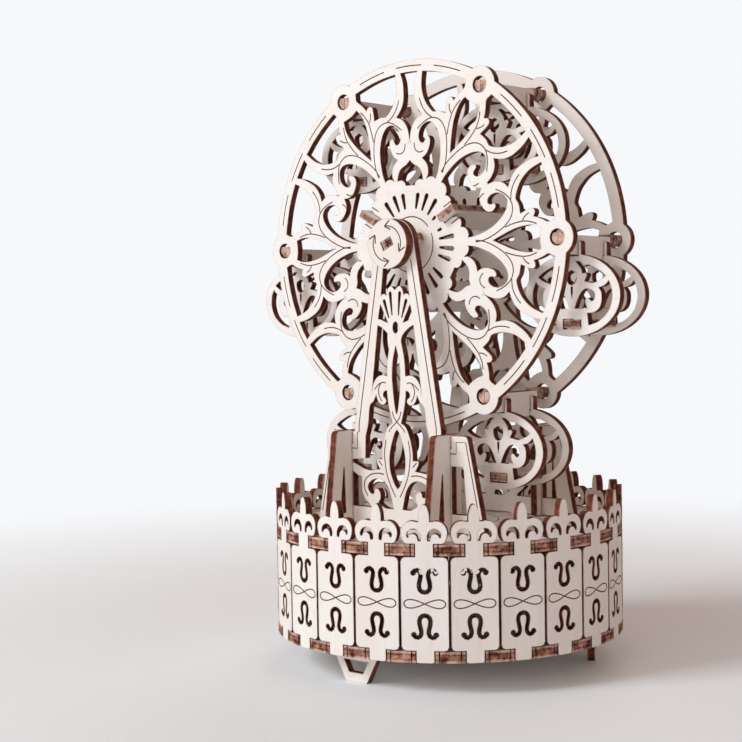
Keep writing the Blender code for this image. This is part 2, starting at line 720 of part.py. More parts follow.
def add_pylons(edge):
    look = (pylon_birch(), edge)
    pylon = pylon_mesh(look)
    place("pylon_front", pylon, seen_from_front(0, -pylon_inner, sole))
    place("pylon_rear", pylon, seen_from_front(0, PYLON_REACH, sole))
    buttress = buttress_mesh(look)
    for side, x in (("left", -BUTTRESS_PLACE), ("right", BUTTRESS_PLACE)):
        front = frame_of((x, -PYLON_REACH, sole), (0, -1, 0), (0, 0, 1))
        rear = frame_of((x, PYLON_REACH, sole), (0, 1, 0), (0, 0, 1))
        place(f"buttress_front_{side}", buttress, front)
        place(f"buttress_rear_{side}", buttress, rear)


def add_wheel(edge):
    look = (wheel_birch(), edge)
    wheel = wheel_mesh(look)
    place("wheel_front", wheel, seen_from_front(0, -wheel_inner, hub_height))
    place("wheel_rear", wheel, seen_from_front(0, WHEEL_REACH, hub_height))
    vane = vane_mesh(look)
    for name, angle in zip(("vane_bottom", "vane_right", "vane_left"), vane_angles()):
        out = (math.cos(angle), 0, math.sin(angle))
        place(name, vane, frame_of((0, 0, hub_height), out, (0, -1, 0)))
    axle_look = (axle_birch(), edge)
    across = (math.cos(AXLE_TILT), 0, math.sin(AXLE_TILT))
    place("axle_strip", axle_mesh(axle_look),
          frame_of((0, 0, hub_height), across, (0, -1, 0)))
    place("knob", knob_mesh(axle_look), seen_from_front(0, -knob_back, hub_height))


def add_cabins(edge):
    look = (cabin_birch(), edge)
    front, rear, hanger = cabin_front_mesh(look), cabin_rear_mesh(look), hanger_mesh(look)
    for i in range(CABIN_COUNT):
        x = PIN_RADIUS * math.cos(sector * i)
        z = hub_height + PIN_RADIUS * math.sin(sector * i)
        name = f"cabin_{i + 1}"
        place(f"{name}_front", front, seen_from_front(x, FINE_SHEET - CABIN_FRONT, z))
        place(f"{name}_rear", rear, seen_from_front(x, cabin_rear, z))
        place(f"{name}_hanger", hanger, frame_of((x, 0, z), (0, -1, 0), (0, 0, 1)))


def main():
    for item in list(bpy.data.objects):
        bpy.data.objects.remove(item)
    edge = burnt_edge()
    add_drum(edge)
    add_pylons(edge)
    add_wheel(edge)
    add_cabins(edge)


main()
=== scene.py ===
"""The hand-turned ferris wheel toy as the laser leaves it: pale birch faces, burnt edges, engraved lines.

Every drawing is in millimetres. A sheet is drawn in its own plane, cut, engraved and raised by its
thickness, and then stood in its place.
"""

import math

import bpy
import numpy as np
from mathutils import Matrix, Vector
from mathutils.geometry import delaunay_2d_cdt
from mathutils.kdtree import KDTree


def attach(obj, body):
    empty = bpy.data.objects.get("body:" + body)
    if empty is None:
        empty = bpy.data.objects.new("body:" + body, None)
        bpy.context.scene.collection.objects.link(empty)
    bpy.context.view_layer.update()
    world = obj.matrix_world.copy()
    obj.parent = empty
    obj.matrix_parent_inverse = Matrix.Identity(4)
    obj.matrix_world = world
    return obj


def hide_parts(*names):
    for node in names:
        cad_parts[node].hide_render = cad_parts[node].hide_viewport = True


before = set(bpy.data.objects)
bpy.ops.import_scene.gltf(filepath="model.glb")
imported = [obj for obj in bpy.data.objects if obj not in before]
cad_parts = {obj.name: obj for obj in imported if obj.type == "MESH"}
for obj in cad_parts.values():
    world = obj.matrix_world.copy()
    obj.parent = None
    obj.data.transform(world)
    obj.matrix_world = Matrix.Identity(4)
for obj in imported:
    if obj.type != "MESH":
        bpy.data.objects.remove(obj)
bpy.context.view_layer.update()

MM = 0.001
# The two plywoods, and the room left in every fit
FINE, THICK, FIT = 2.2, 3.0, 0.3
# An engraved line's depth and width, and how far scorch reaches in from a cut edge
GROOVE = 0.18
LINE = 0.34
HALO = 0.32
# How finely outlines are divided, and which corners stay sharp and which sides straight
MERGE = 0.0005
EDGE_STEP = 1.3
CURVE_STEP = 0.7
CORNER = math.radians(48)
STRAIGHT = 6.0
# What each side of a sheet is finished as
FACE, EDGE, ENGRAVED, PALE_EDGE = 0, 1, 2, 3

# Drum, its levels counted from the table
BASE_BOTTOM, BASE_TOP = 9.0, 12.0
DECK_BOTTOM = 37.7
CREST_BOTTOM = 41.0
PANEL_COUNT = 24
PANEL_FACE = 51.15
PANEL_HALF = 6.38
NECK_HALF = 2.4
DISC_RADIUS = 51.1
FOOT_FACE = 43.1
PYLON_TABS = (9.5, 27.2)
# Rings of the deck's paving: inner and outer radius, stones, first joint
PAVING = [(4.0, 15.0, 8, 0.0), (16.0, 31.0, 16, 11.0), (32.0, 45.6, 24, 3.0)]

# Wheel, pylons and cabins
HUB = 122.0
SPOKE = 50.0
SECTORS, SECTOR, THIRD = 6, 60, 120
RIM_OUTER = 52.94
BOSS = 5.1
PIN_HOLE = 2.3
VANE_NEAR, VANE_FAR = 13.6, 19.6
WHEEL_FACE = 15.9
PYLON_FACE = 23.6
PYLON_HEAD = 7.2
SOLE = 41.0
KNOB_BACK = 23.9
TILT = 25
AXLE_THICK = 2.45
BUTTRESS_X = 18.05
BUTTRESS_TOP = 68.3
LAP_HALF = 1.4
CABIN_FRONT, CABIN_REAR = 9.0, 6.3
PIN_FRONT, PIN_REAR = 12.5, 15.4
PIN_RADIUS = 1.95

# Wheel, on the spoke from hub to pin: (out, aside)
TEAR = [
    (29, 0), (31, .9), (33, 1.7), (35, 2.5), (37, 3.1), (39, 3.5), (41, 3.7), (43, 3.5), (44.9, 2.9),
    (44.6, 1.4), (44.5, 0),
]
# Wheel, on the line midway between two spokes: (aside, out)
RIM_EYE = [
    (5, 49.25), (10, 48.45), (15, 47.1), (20.2, 45.2), (19.9, 43), (18.3, 41.8), (16.9, 40.6), (16.1, 39.7),
    (15.7, 40.4), (15.1, 40.9), (14.4, 40.9), (13.8, 40.4), (13.5, 39.4), (13.3, 38), (13.1, 36.5),
    (11.8, 37), (10.3, 37.4), (8.8, 37.3), (7.2, 38.7), (5.8, 40.7), (5, 42.8), (4.6, 45), (4.7, 47.2),
]
RIM_TIP = [
    (0, 49.5), (3.1, 49.4), (2.3, 47), (2, 44.5), (2, 42), (2.6, 39.8), (3.6, 38.2), (4.8, 36.8), (3, 36.2),
    (1.6, 34.9), (.7, 33.3), (.25, 31.5), (0, 29.7),
]
RIM_TIP_FREE = RIM_TIP[:-1] + [(0, 31.7)]
SCROLL = [
    (8.6, 16.4), (9.05, 17.9), (9.9, 19.8), (10.44, 21.7), (10.99, 24.8), (11.11, 27.6), (10.62, 30.6),
    (9.72, 32.8), (8.43, 34.3), (7, 34.75), (5.4, 34.3), (4.14, 33.2), (3.43, 31.7), (3.38, 30.3),
    (3.8, 29.3), (4.5, 28.85), (5.2, 29), (5.6, 29.6), (5.8, 30.25), (6.15, 30.75), (6.65, 30.8),
    (7.15, 30.35), (7.45, 29.5),
]
LEG = [
    (7.3, 28.2), (6.6, 26.5), (5.4, 25.1), (4.4, 24.6), (5.6, 23.5), (6.4, 22.2), (6.6, 20.8), (6.5, 19.6),
    (5.9, 18.6), (5.4, 16.4),
]
BULB = [(7.3, 28.4), (6.3, 27.3), (4.4, 26.75), (2.8, 26.8), (1.5, 27.3), (.5, 28.4), (0, 29.2)]
ARCH = [(0, 24.3), (1.2, 23.1), (2.8, 22.3), (3.8, 21.4), (4.3, 20.4), (4.7, 18.4), (4.7, 16.4)]
HUB_EDGE = [
    (0, 17), (1.7, 17), (1.8, 17.6), (2.3, 18.2), (3.2, 18.65), (4.2, 18.55), (5, 18), (5.3, 17.6),
    (5.8, 18.4), (6.6, 18.9), (7.7, 19.1), (8.7, 18.85), (9.3, 18.1), (9.5, 17.4),
]
RIM_DASH, RIM_DASHES = 51.15, [(-21.2, -10.3), (-5.2, 5.2), (10.3, 21.2)]
STRAND_LINES = [
    [(11.7, 19.8), (12.8, 22.5), (13.3, 25.5), (13.4, 28.5), (13.1, 31.2), (12.2, 33.5), (10.9, 34.9),
     (9.2, 35.6), (7.4, 35.6), (5.8, 35), (4.3, 34.1), (2.9, 33)],
    [(3.8, 41.7), (4.3, 40.2), (5.2, 38.5), (6.5, 37), (8.2, 35.8)],
    [(18.4, 39.6), (17, 38.4), (15.6, 36.6), (14.6, 34.3), (13.9, 32), (13.6, 30.4)],
    [(14.5, 39), (14.5, 37.6), (15.1, 36.2)],
    [(1.7, 29.1), (1.75, 27.9), (2.3, 26.8), (3.2, 26.3), (4.2, 26.3), (5, 26.6)],
]
# Slits in the hub: turn from the middle of the fan, inner end, outer end
HUB_SLITS = [(11, 10.4, 15), (23.5, 10.4, 15.6), (37, 10.3, 15.7), (50, 10.3, 11.9)]

# Panel: (aside, up) from the table
OMEGA = [
    (3, 33.2), (2.6, 33.8), (1.95, 33.95), (1.3, 33.55), (1, 32.8), (1.05, 32), (1.25, 31.2), (1.45, 30.2),
    (1.5, 29.5), (1.25, 28.65), (.7, 28.15), (0, 28),
]
OMEGA_HALF, OMEGA_BALL = 0.6, 0.75
PANEL_MIDDLE = 24.9
CREST = [
    (4.6, 41), (5.4, 41.3), (6, 42.5), (6.25, 43.9), (6, 45.2), (5.2, 46.3), (4.2, 46.9), (3.2, 47.05),
    (2.2, 46.85), (1.5, 46.8), (1.5, 48), (1.4, 49), (1.15, 50), (.8, 50.9), (.4, 51.3), (0, 51.4),
]
LOOP_HALF, LOOP_RISE = 5.6, 1.25
CRESCENT = [
    (.9, 41.7), (.8, 42.4), (.85, 43.2), (1.2, 44.1), (1.9, 44.8), (2.85, 45.05), (3.8, 44.8), (4.5, 44.1),
    (4.75, 43.2), (4.5, 42.55), (4.15, 42.6), (3.95, 43.1), (3.5, 43.5), (2.95, 43.65), (2.3, 43.4),
    (1.9, 42.9), (1.75, 42.3), (1.65, 41.7),
]

# Foot: (aside, up) from the table
FOOT_SIDE = [(8.4, BASE_BOTTOM - FIT), (3.95, .3), (3.6, 0)]
FOOT_WINDOW = [(4.43, 6.1), (2.7, 2.85), (2.35, 2.6)]

# Pylon: (aside, up) from the table
PYLON_SIDE = [(7.15, 122.5), (15.9, 69.2), (15.9, 68), (24, 68), (24.8, 67.7), (25.15, 66.9), (30.6, 41)]
HEAD_EYE = [
    (0, 115.3), (4.3, 115.3), (5.25, 107.2), (4.7, 107.7), (4, 107.9), (3.2, 107.4), (2.95, 108.4),
    (2.6, 109.3), (1.9, 109.95), (1.2, 109.95), (.6, 109.4), (0, 108.9),
]
FAN_SLITS = [((1.75, 108), (1.15, 101.7), .5), ((4, 105.8), (2.35, 101), .5)]
FAN_SIDE = [
    (5.5, 104.8), (5.95, 103), (6.4, 100.7), (5.4, 100.5), (4.4, 100.1), (2.7, 99.5), (3.6, 101.4),
    (4.5, 103.1), (5.1, 104.3),
]
UPPER_SIDE = [
    (6.6, 98.9), (5.2, 98.3), (3.8, 97.3), (2.6, 96.1), (2.1, 95.2), (2, 94.3), (2.2, 93.2), (2.6, 91.5),
    (3, 89.5), (3.2, 87.5), (3.3, 85.5), (3.4, 84.3), (5, 84.6), (6.3, 84.3), (7.4, 83.6), (8.3, 82.4),
    (9, 80.8),
]
UPPER_ALMOND = [
    (0, 93.2), (.5, 91.5), (.95, 89.8), (1.3, 88), (1.5, 85.5), (1.5, 83), (1.3, 80.5), (1, 77.8),
    (.6, 75.3), (.3, 73.9), (0, 73.4),
]
VOLUTE = [
    (3.45, 80.15), (3.3, 78), (2.95, 76), (2.6, 74.5), (2.1, 72.7), (1.55, 70.8), (2.7, 70.3), (3.75, 69),
    (4.55, 67), (5.15, 65), (5.55, 63), (5.65, 60.3), (7.75, 60.3), (7.6, 59.2), (7, 58.1), (6.4, 57.3),
    (8.85, 57), (10.25, 56.8), (12.45, 57.2), (14.95, 58.2), (16.85, 58.9), (16.85, 59.8), (14.25, 60),
    (12, 60.2), (11.8, 66.7), (10.8, 70), (10, 75.6), (9.5, 76.3), (8.75, 76.8), (8.05, 77.9), (7.6, 78.9),
    (6.95, 77.2), (5.95, 76.2), (4.95, 76), (4.05, 76.5), (3.75, 77.2), (4.15, 77.9), (4.8, 78.3), (5, 79),
    (4.7, 79.7), (4, 80.15),
]
LOWER_ALMOND = [
    (0, 69.1), (.6, 68.4), (1.4, 66.7), (2.3, 64), (2.85, 61.5), (2.95, 59.5), (2.65, 57), (2, 55), (1, 53),
    (0, 51.9),
]
SPIRAL_EYE = [
    (1.6, 46.1), (2.1, 48), (2.6, 50), (3.5, 52.2), (5, 53.9), (6.6, 54.5), (7.95, 54.5), (9.45, 54.1),
    (10.65, 53.2), (11.25, 52), (10.95, 51), (10.25, 50.2), (9.45, 49.9), (8.85, 50.2), (8.75, 51),
    (8.25, 51.6), (7.45, 51.6), (6.75, 50.9), (6.45, 49.8), (6.65, 48.6), (7.3, 47.6), (6, 46.7),
    (4.5, 46.1),
]
ARM_EYE = [
    (16.9, 56.3), (14.9, 55.2), (13.6, 54.9), (13.45, 52.5), (13.4, 50.5), (12.4, 48.5), (11, 47.4),
    (10.2, 46.6), (10, 46.1), (16.9, 46.1),
]
WINDOW = [(19.4, 59.5), (23.55, 59.5), (24.5, 46.1), (19.4, 46.1)]
PYLON_LINES = [
    [(5.9, 117.5), (14.2, 70), (14.2, 68), (15, 67.5), (15, 63), (21.1, 63),
     (21.1, 66.3), (24.4, 66.3), (29.1, 43.8)],
    [(3.9, 82.3), (5, 82.5), (6.3, 82), (7.4, 81.1), (8.1, 80.3)],
    [(5.7, 82.2), (6.5, 80.8), (6.6, 79.5), (6.1, 78), (5.4, 77)],
    [(-3, 68.3), (-1.6, 69.9), (0, 71.2), (1.1, 72.6), (1.6, 74.2)],
    [(4.1, 66), (4.7, 62.5), (4.5, 59), (3.9, 56), (2.6, 52.8), (.8, 49.6)],
    [(5.6, 58.4), (6.4, 59.2), (7, 59.8)],
    [(5, 55.9), (7.5, 56.1), (10.4, 55.4), (12.3, 53.6), (12.4, 51.3), (11.2, 49.3)],
]

# Buttress: (out from the pylon's face, up from the table)
BUTTRESS = [
    (-4.9, SOLE), (10.3, SOLE), (6.85, BUTTRESS_TOP - 1.6), (6.6, BUTTRESS_TOP - .7),
    (6.1, BUTTRESS_TOP - .15), (5.4, BUTTRESS_TOP), (-4.9, BUTTRESS_TOP),
]
BUTTRESS_SLOT = [(3.2, 44.3), (5.8, 44.3), (4.1, 57.2), (3.85, 57.9), (3.6, 57.2)]

# Cabin: (aside, up) from its pin
OVAL_WIDE, OVAL_HIGH, OVAL_DROP = 15.1, 11.2, 15.6
CABIN_TOP = [
    (1.3, -6.4), (2.6, -6.5), (4, -7.4), (5.6, -7.5), (8, -8.6), (9.6, -9.5), (10.8, -10.5), (9.7, -11.3),
    (8.2, -12), (6.5, -12.4), (5.2, -12.1), (4, -11.9), (4.5, -11), (4.9, -10.2), (4.4, -9.6), (3.4, -9.8),
    (3.1, -8.6), (2.2, -7.4),
]
CABIN_SIDE = [
    (8.4, -13.6), (9.8, -13.3), (10.9, -12.6), (11.6, -11.7), (12.4, -13.6), (12.7, -15.6), (12.5, -17.5),
    (11.7, -19.6), (10.3, -21.3), (8.2, -22.8), (5.2, -23.8), (5, -22), (4.8, -20.4), (6, -20.4),
    (7.5, -20), (8.7, -19), (9.3, -17.5), (9.4, -16), (9.2, -14.7),
]
CABIN_EYE = [
    (.8, -19.2), (1.2, -18.2), (2, -16.4), (3.2, -14.6), (4.3, -13.9), (5.4, -13.9), (6.6, -14.4),
    (7.3, -15.3), (7.3, -16.3), (6.8, -17.1), (6.2, -17.3), (5.6, -16.8), (5.2, -16.3), (4.6, -16.4),
    (4.2, -17), (4.4, -18), (4.9, -19.1), (4, -19), (3.2, -19.3), (2.2, -19.2),
]
CABIN_HEART = [(0, -8.7), (1.6, -9.6), (1.7, -10.5), (1.4, -11.8), (.9, -12.6), (0, -12.9)]
CABIN_SPIKE = [(.35, -13.2), (.3, -15), (0, -16.4)]
CABIN_NECK = [(2.7, -.9), (3.1, -1.4), (3.1, -6.5)]
FLOOR_DROP, FLOOR_LENGTH = 22.2, 15.3

# Colours of the wood
PALE, WARM = (0.865, 0.85, 0.825, 1), (0.78, 0.69, 0.61, 1)
DISC_PALE, DISC_WARM = (0.84, 0.78, 0.72, 1), (0.71, 0.60, 0.51, 1)
AXLE_PALE = (0.80, 0.765, 0.725, 1)
FLECK_BROWN, SCORCH_BROWN = (0.48, 0.33, 0.25, 1), (0.24, 0.085, 0.045, 1)
CHAR, RED_CHAR = (0.045, 0.010, 0.005, 1), (0.14, 0.020, 0.008, 1)
TOAST, LIGHT_TOAST, PALE_TOAST = (0.25, 0.074, 0.038, 1), (0.56, 0.31, 0.22, 1), (0.52, 0.34, 0.27, 1)
PALE_PLY = (0.72, 0.50, 0.40, 1)
ENGRAVED_DARK, ENGRAVED_BROWN = (0.10, 0.032, 0.018, 1), (0.30, 0.135, 0.085, 1)

# Studio
BACKDROP, AMBIENT = (0.93, 0.94, 0.96, 1), (1.0, 0.70, 0.57, 1)
TABLE_PALE, TABLE_GREY = (0.89, 0.95, 0.99, 1), (0.86, 0.92, 0.96, 1)
TABLE_REACH = 6.0
# Lamps: name, place in metres, size, watts and colour
LAMPS = [
    ("key", (-0.58, -1.14, 0.95), 0.55, 14.1, (0.90, 0.955, 1.0)),
    ("fill", (0.3, -1.3, 0.5), 1.2, 5.0, (1.0, 0.98, 0.965)),
    ("back", (-0.4, 1.3, 0.8), 1.0, 4.0, (1.0, 0.98, 0.965)),
]
LAMP_TARGET = (0, 0, 0.09)
# Camera: where it stands and looks, in millimetres, its roll in radians, sensor and lens
CAMERA_PLACE, CAMERA_TARGET = (276.82, -362.18, 102.57), (-29.30, 0, 84.50)
CAMERA_ROLL = -0.0156
SENSOR, LENS = 36.0, 74.37


def mirrored(points):
    """A loop from its right half, which starts and ends on or across the middle line."""
    return list(points) + [(-x, y) for x, y in reversed(points) if x != 0]


def flipped(points):
    return [(-x, y) for x, y in reversed(points)]


def both(loops):
    """The loops and their mirror images."""
    return [*loops, *map(flipped, loops)]


def turned(points, degrees):
    cos, sin = math.cos(math.radians(degrees)), math.sin(math.radians(degrees))
    return [(x * cos - y * sin, x * sin + y * cos) for x, y in points]


def moved(points, aside, up):
    return [(x + aside, y + up) for x, y in points]


def arc(radius, start, end, step=1.0):
    """Points along an arc, in degrees, about every `step` millimetres."""
    count = max(2, math.ceil(abs(math.radians(end - start)) * radius / step))
    angles = [math.radians(start + (end - start) * i / count) for i in range(count + 1)]
    return [(radius * math.cos(a), radius * math.sin(a)) for a in angles]


def circle(radius, step=1.0):
    return arc(radius, 0, 360, min(step, radius / 2.5))[:-1]


def rectangle(x0, y0, x1, y1):
    return [(x0, y0), (x1, y0), (x1, y1), (x0, y1)]


def turn_at(before, here, after):
    return (Vector(here) - Vector(before)).angle(Vector(after) - Vector(here), 0.0)


def spline(run, lead=None, trail=None):
    """A centripetal curve through a run of points, without the last of them."""
    points = [Vector(p) for p in run]
    if len(points) < 3:
        return [tuple(p) for p in points[:-1]]
    lead = Vector(lead) if lead else 2 * points[0] - points[1]
    trail = Vector(trail) if trail else 2 * points[-1] - points[-2]
    points = [lead, *points, trail]
    found = []
    for p0, p1, p2, p3 in zip(points, points[1:], points[2:], points[3:]):
        t1 = (p1 - p0).length ** 0.5
        t2 = t1 + (p2 - p1).length ** 0.5
        t3 = t2 + (p3 - p2).length ** 0.5
        steps = max(1, round((p2 - p1).length / CURVE_STEP))
        for i in range(steps):
            t = t1 + (t2 - t1) * i / steps
            a1 = p0.lerp(p1, t / t1)
            a2 = p1.lerp(p2, (t - t1) / (t2 - t1))
            a3 = p2.lerp(p3, (t - t2) / (t3 - t2))
            b1 = a1.lerp(a2, t / t2)
            b2 = a2.lerp(a3, (t - t1) / (t3 - t1))
            found.append(tuple(b1.lerp(b2, (t - t1) / (t2 - t1))))
    return found


def smooth(points, closed=True):
    """A drawn line made round through its points: sharp corners and long stretches stay."""
    count = len(points)
    spans = count if closed else count - 1
    long = [math.dist(points[i], points[(i + 1) % count]) > STRAIGHT for i in range(spans)]
    stops = [i for i in range(count)
             if (not closed and i in (0, count - 1)) or long[i - 1] or long[i]
             or turn_at(points[i - 1], points[i], points[(i + 1) % count]) > CORNER]
    if not stops:
        return spline([*points, points[0]], points[-1], points[1])
    found = []
    ends = stops[1:] + ([stops[0] + count] if closed else [])
    for start, end in zip(stops, ends):
        found += spline([points[i % count] for i in range(start, end + 1)])
    if not closed:
        found.append(tuple(points[-1]))
    return found


def evenly(loop):
    """The loop with its long sides divided."""
    found = []
    for (x0, y0), (x1, y1) in zip(loop, loop[1:] + loop[:1]):
        parts = max(1, math.ceil(math.dist((x0, y0), (x1, y1)) / EDGE_STEP))
        found += [(x0 + (x1 - x0) * i / parts, y0 + (y1 - y0) * i / parts) for i in range(parts)]
    return found


def band(path, half, end_half=None):
    """The outline of a cut or a line along a path. Its half-width changes if two are given."""
    end_half = half if end_half is None else end_half
    left, right = [], []
    last = len(path) - 1
    for i, (x, y) in enumerate(path):
        before, after = path[max(i - 1, 0)], path[min(i + 1, last)]
        along = (Vector(after) - Vector(before)).normalized()
        wide = half + (end_half - half) * i / last
        left.append((x - along.y * wide, y + along.x * wide))
        right.append((x + along.y * wide, y - along.x * wide))
    return left + right[::-1]


def line(path):
    """An engraved line along a path."""
    return band(smooth(path, False), LINE / 2)


def inside(points, loops):
    """Which points lie inside any of the loops."""
    found = np.zeros(len(points), bool)
    for loop in loops:
        a = np.asarray(loop)
        b = np.roll(a, -1, axis=0)
        near = np.all((points >= a.min(0)) & (points <= a.max(0)), axis=1) & ~found
        x, y = points[near, 0:1], points[near, 1:2]
        side = (b[:, 0] - a[:, 0]) * (y - a[:, 1]) - (x - a[:, 0]) * (b[:, 1] - a[:, 1])
        up = (a[:, 1] <= y) & (y < b[:, 1]) & (side > 0)
        down = (b[:, 1] <= y) & (y < a[:, 1]) & (side < 0)
        found[near] = up.sum(1) != down.sum(1)
    return found


def in_sheet(points, layers):
    """Layers are sets of loops, by turns added and cut away, each over those before it."""
    kept = np.zeros(len(points), bool)
    for i, loops in enumerate(layers):
        kept[inside(points, loops)] = i % 2 == 0
    return kept


def divided(points, edges):
    """Corners and triangles of the plane, with every edge kept."""
    found = delaunay_2d_cdt([Vector(p) for p in points], edges, [], 0, MERGE)
    return np.array(found[0]), np.array(found[2])


def chained(loops, first=0):
    points, edges = [], []
    for loop in loops:
        start = first + len(points)
        points += loop
        edges += [(start + i, start + (i + 1) % len(loop)) for i in range(len(loop))]
    return points, edges


def outer_sides(faces):
    sides = {(int(a), int(b)) for face in faces for a, b in zip(face, np.roll(face, -1))}
    return sorted((a, b) for a, b in sides if (b, a) not in sides)


def halo_points(corners, border, layers):
    """Points a little way in from the cut edge, where the scorch has faded."""
    after, before = dict(border), {b: a for a, b in border}
    spots = []
    for here in sorted(after):
        to_here = Vector(corners[here] - corners[before[here]]).normalized()
        onward = Vector(corners[after[here]] - corners[here]).normalized()
        inward = (to_here + onward).orthogonal()
        if inward.length > 0.3:
            spots.append(Vector(corners[here]) + inward.normalized() * HALO)
    spots = np.array(spots)
    spots = spots[in_sheet(spots, layers)]
    ends = corners[np.array(border)]
    start, side = ends[:, 0], ends[:, 1] - ends[:, 0]
    away = spots[:, None] - start
    along = np.clip((away * side).sum(2) / (side * side).sum(1), 0, 1)
    gap = np.linalg.norm(away - along[..., None] * side, axis=2).min(1)
    return [tuple(s) for s in spots[gap > HALO * 0.8]]


class Side:
    """One face of a sheet: its triangles, with the grooves sunk a little below the rest."""

    def __init__(self, piece, rim, rim_edges, halo, grooves, layers, level, inward):
        extra, extra_edges = chained(grooves, len(rim) + len(halo))
        points, triangles = divided(rim + halo + extra, rim_edges + extra_edges)
        triangles = triangles[in_sheet(points[triangles].mean(1), layers)]
        sunk = inside(points[triangles].mean(1), grooves)
        outline = {i for side in outer_sides(triangles) for i in side}
        self.top, self.deep, self.sides = {}, {}, {}
        for triangle, low in zip(triangles.tolist(), sunk.tolist()):
            known, height = (self.deep, level + inward * GROOVE) if low else (self.top, level)
            for i in triangle:
                if i not in known:
                    known[i] = piece.corner(points[i], height, i in outline)
            piece.polygon([known[i] for i in triangle], ENGRAVED if low else FACE, inward > 0)
            for a, b in zip(triangle, triangle[1:] + triangle[:1]):
                self.sides[a, b] = low
        for (a, b), low in self.sides.items():
            if not low and self.sides.get((b, a)):
                wall = [self.deep[a], self.deep[b], self.top[b], self.top[a]]
                piece.polygon(wall, ENGRAVED, inward > 0)
        tree = KDTree(len(points))
        for i, point in enumerate(points):
            tree.insert((*point, 0), i)
        tree.balance()
        self.match = [tree.find((*point, 0))[1] for point in rim]

    def ends(self, a, b):
        """The corners at both ends of a rim side, each from the face inwards."""
        i, j = self.match[a], self.match[b]
        if self.sides.get((i, j)):
            return [self.deep[i]], [self.deep[j]]
        return tuple([self.top[k]] + ([self.deep[k]] if k in self.deep else []) for k in (i, j))


class Sheet:
    """A flat piece: two faces, burnt edges between them and engraved grooves, in metres."""

    def __init__(self, layers, thickness, start=0.0, lines=()):
        self.start, self.thickness = start, thickness
        self.vertices, self.polygons, self.finishes = [], [], []
        self.scorch, self.depth = [], []
        layers = [[evenly(loop) for loop in loops] for loops in layers]
        loops = [loop for loops in layers for loop in loops] + [*lines]
        corners, triangles = divided(*chained(loops))
        triangles = triangles[in_sheet(corners[triangles].mean(1), layers)]
        border = outer_sides(triangles)
        halo = halo_points(corners, border, layers)
        used = sorted({i for side in border for i in side})
        new = {old: i for i, old in enumerate(used)}
        rim = [tuple(corners[i]) for i in used]
        rim_edges = [(new[a], new[b]) for a, b in border]
        high = Side(self, rim, rim_edges, halo, lines, layers, start + thickness, -1)
        low = Side(self, rim, rim_edges, halo, [], layers, start, 1)
        for a, b in rim_edges:
            high_a, high_b = high.ends(a, b)
            low_a, low_b = low.ends(a, b)
            self.polygon([*low_b, *high_b[::-1], *high_a, *low_a[::-1]], EDGE, False)

    def corner(self, point, level, on_rim):
        self.vertices.append((point[0] * MM, point[1] * MM, level * MM))
        self.scorch.append(float(on_rim))
        self.depth.append((level - self.start) / self.thickness)
        return len(self.vertices) - 1

    def polygon(self, corners, finish, backwards):
        self.polygons.append(corners[::-1] if backwards else corners)
        self.finishes.append(finish)

    def mesh(self, name, where, board=0.0):
        """The sheet as a mesh, stood in its place. `board` picks its stretch of the grain."""
        mesh = bpy.data.meshes.new(name)
        mesh.from_pydata(self.vertices, [], self.polygons)
        for key, values in (("scorch", self.scorch), ("depth", self.depth),
                            ("board", [board] * len(self.vertices))):
            mesh.attributes.new(key, "FLOAT", "POINT").data.foreach_set("value", values)
        mesh.attributes.new("finish", "INT", "FACE").data.foreach_set("value", self.finishes)
        mesh.polygons.foreach_set("material_index", self.finishes)
        mesh.transform(where)
        return mesh


def stand(origin, right, up):
    """Where a drawing stands: its X runs right, its Y runs up and its Z is their normal."""
    right, up = Vector(right), Vector(up)
    turn = Matrix((right, up, right.cross(up))).transposed().to_4x4()
    return Matrix.Translation(Vector(origin) * MM) @ turn


def lying(z):
    return Matrix.Translation((0, 0, z * MM))


def facing_front(x, y, z):
    return stand((x, y, z), (1, 0, 0), (0, 0, 1))


def facing_rear(x, y, z):
    return stand((x, y, z), (-1, 0, 0), (0, 0, 1))


def feed(tree, socket, value):
    """Links a socket to what feeds it, or sets its number or colour."""
    value = getattr(value, "socket", value)
    if isinstance(value, bpy.types.NodeSocket):
        tree.links.new(value, socket)
    else:
        socket.default_value = value


def added(tree, kind, sockets, **settings):
    """A new node, with its settings and what feeds its sockets."""
    made = tree.nodes.new(kind)
    for key, value in settings.items():
        setattr(made, key, value)
    for key, value in sockets.items():
        feed(tree, made.inputs[key], value)
    return made


def sums(operation, step=1):
    """What an operator of a value does: with step -1 its two sides change places."""
    return lambda *sides: sides[0].look.sum(operation, *sides[::step])


class Value:
    """A socket that can stand in a sum, so that a pattern is written as arithmetic."""

    __add__, __radd__ = sums("ADD"), sums("ADD", -1)
    __sub__, __rsub__ = sums("SUBTRACT"), sums("SUBTRACT", -1)
    __mul__, __pow__, __abs__ = sums("MULTIPLY"), sums("POWER"), sums("ABSOLUTE")

    def __init__(self, look, socket):
        self.look, self.socket = look, socket

    def held(self):
        """The value kept between nothing and one."""
        return self.look.node("Clamp", {"Value": self})


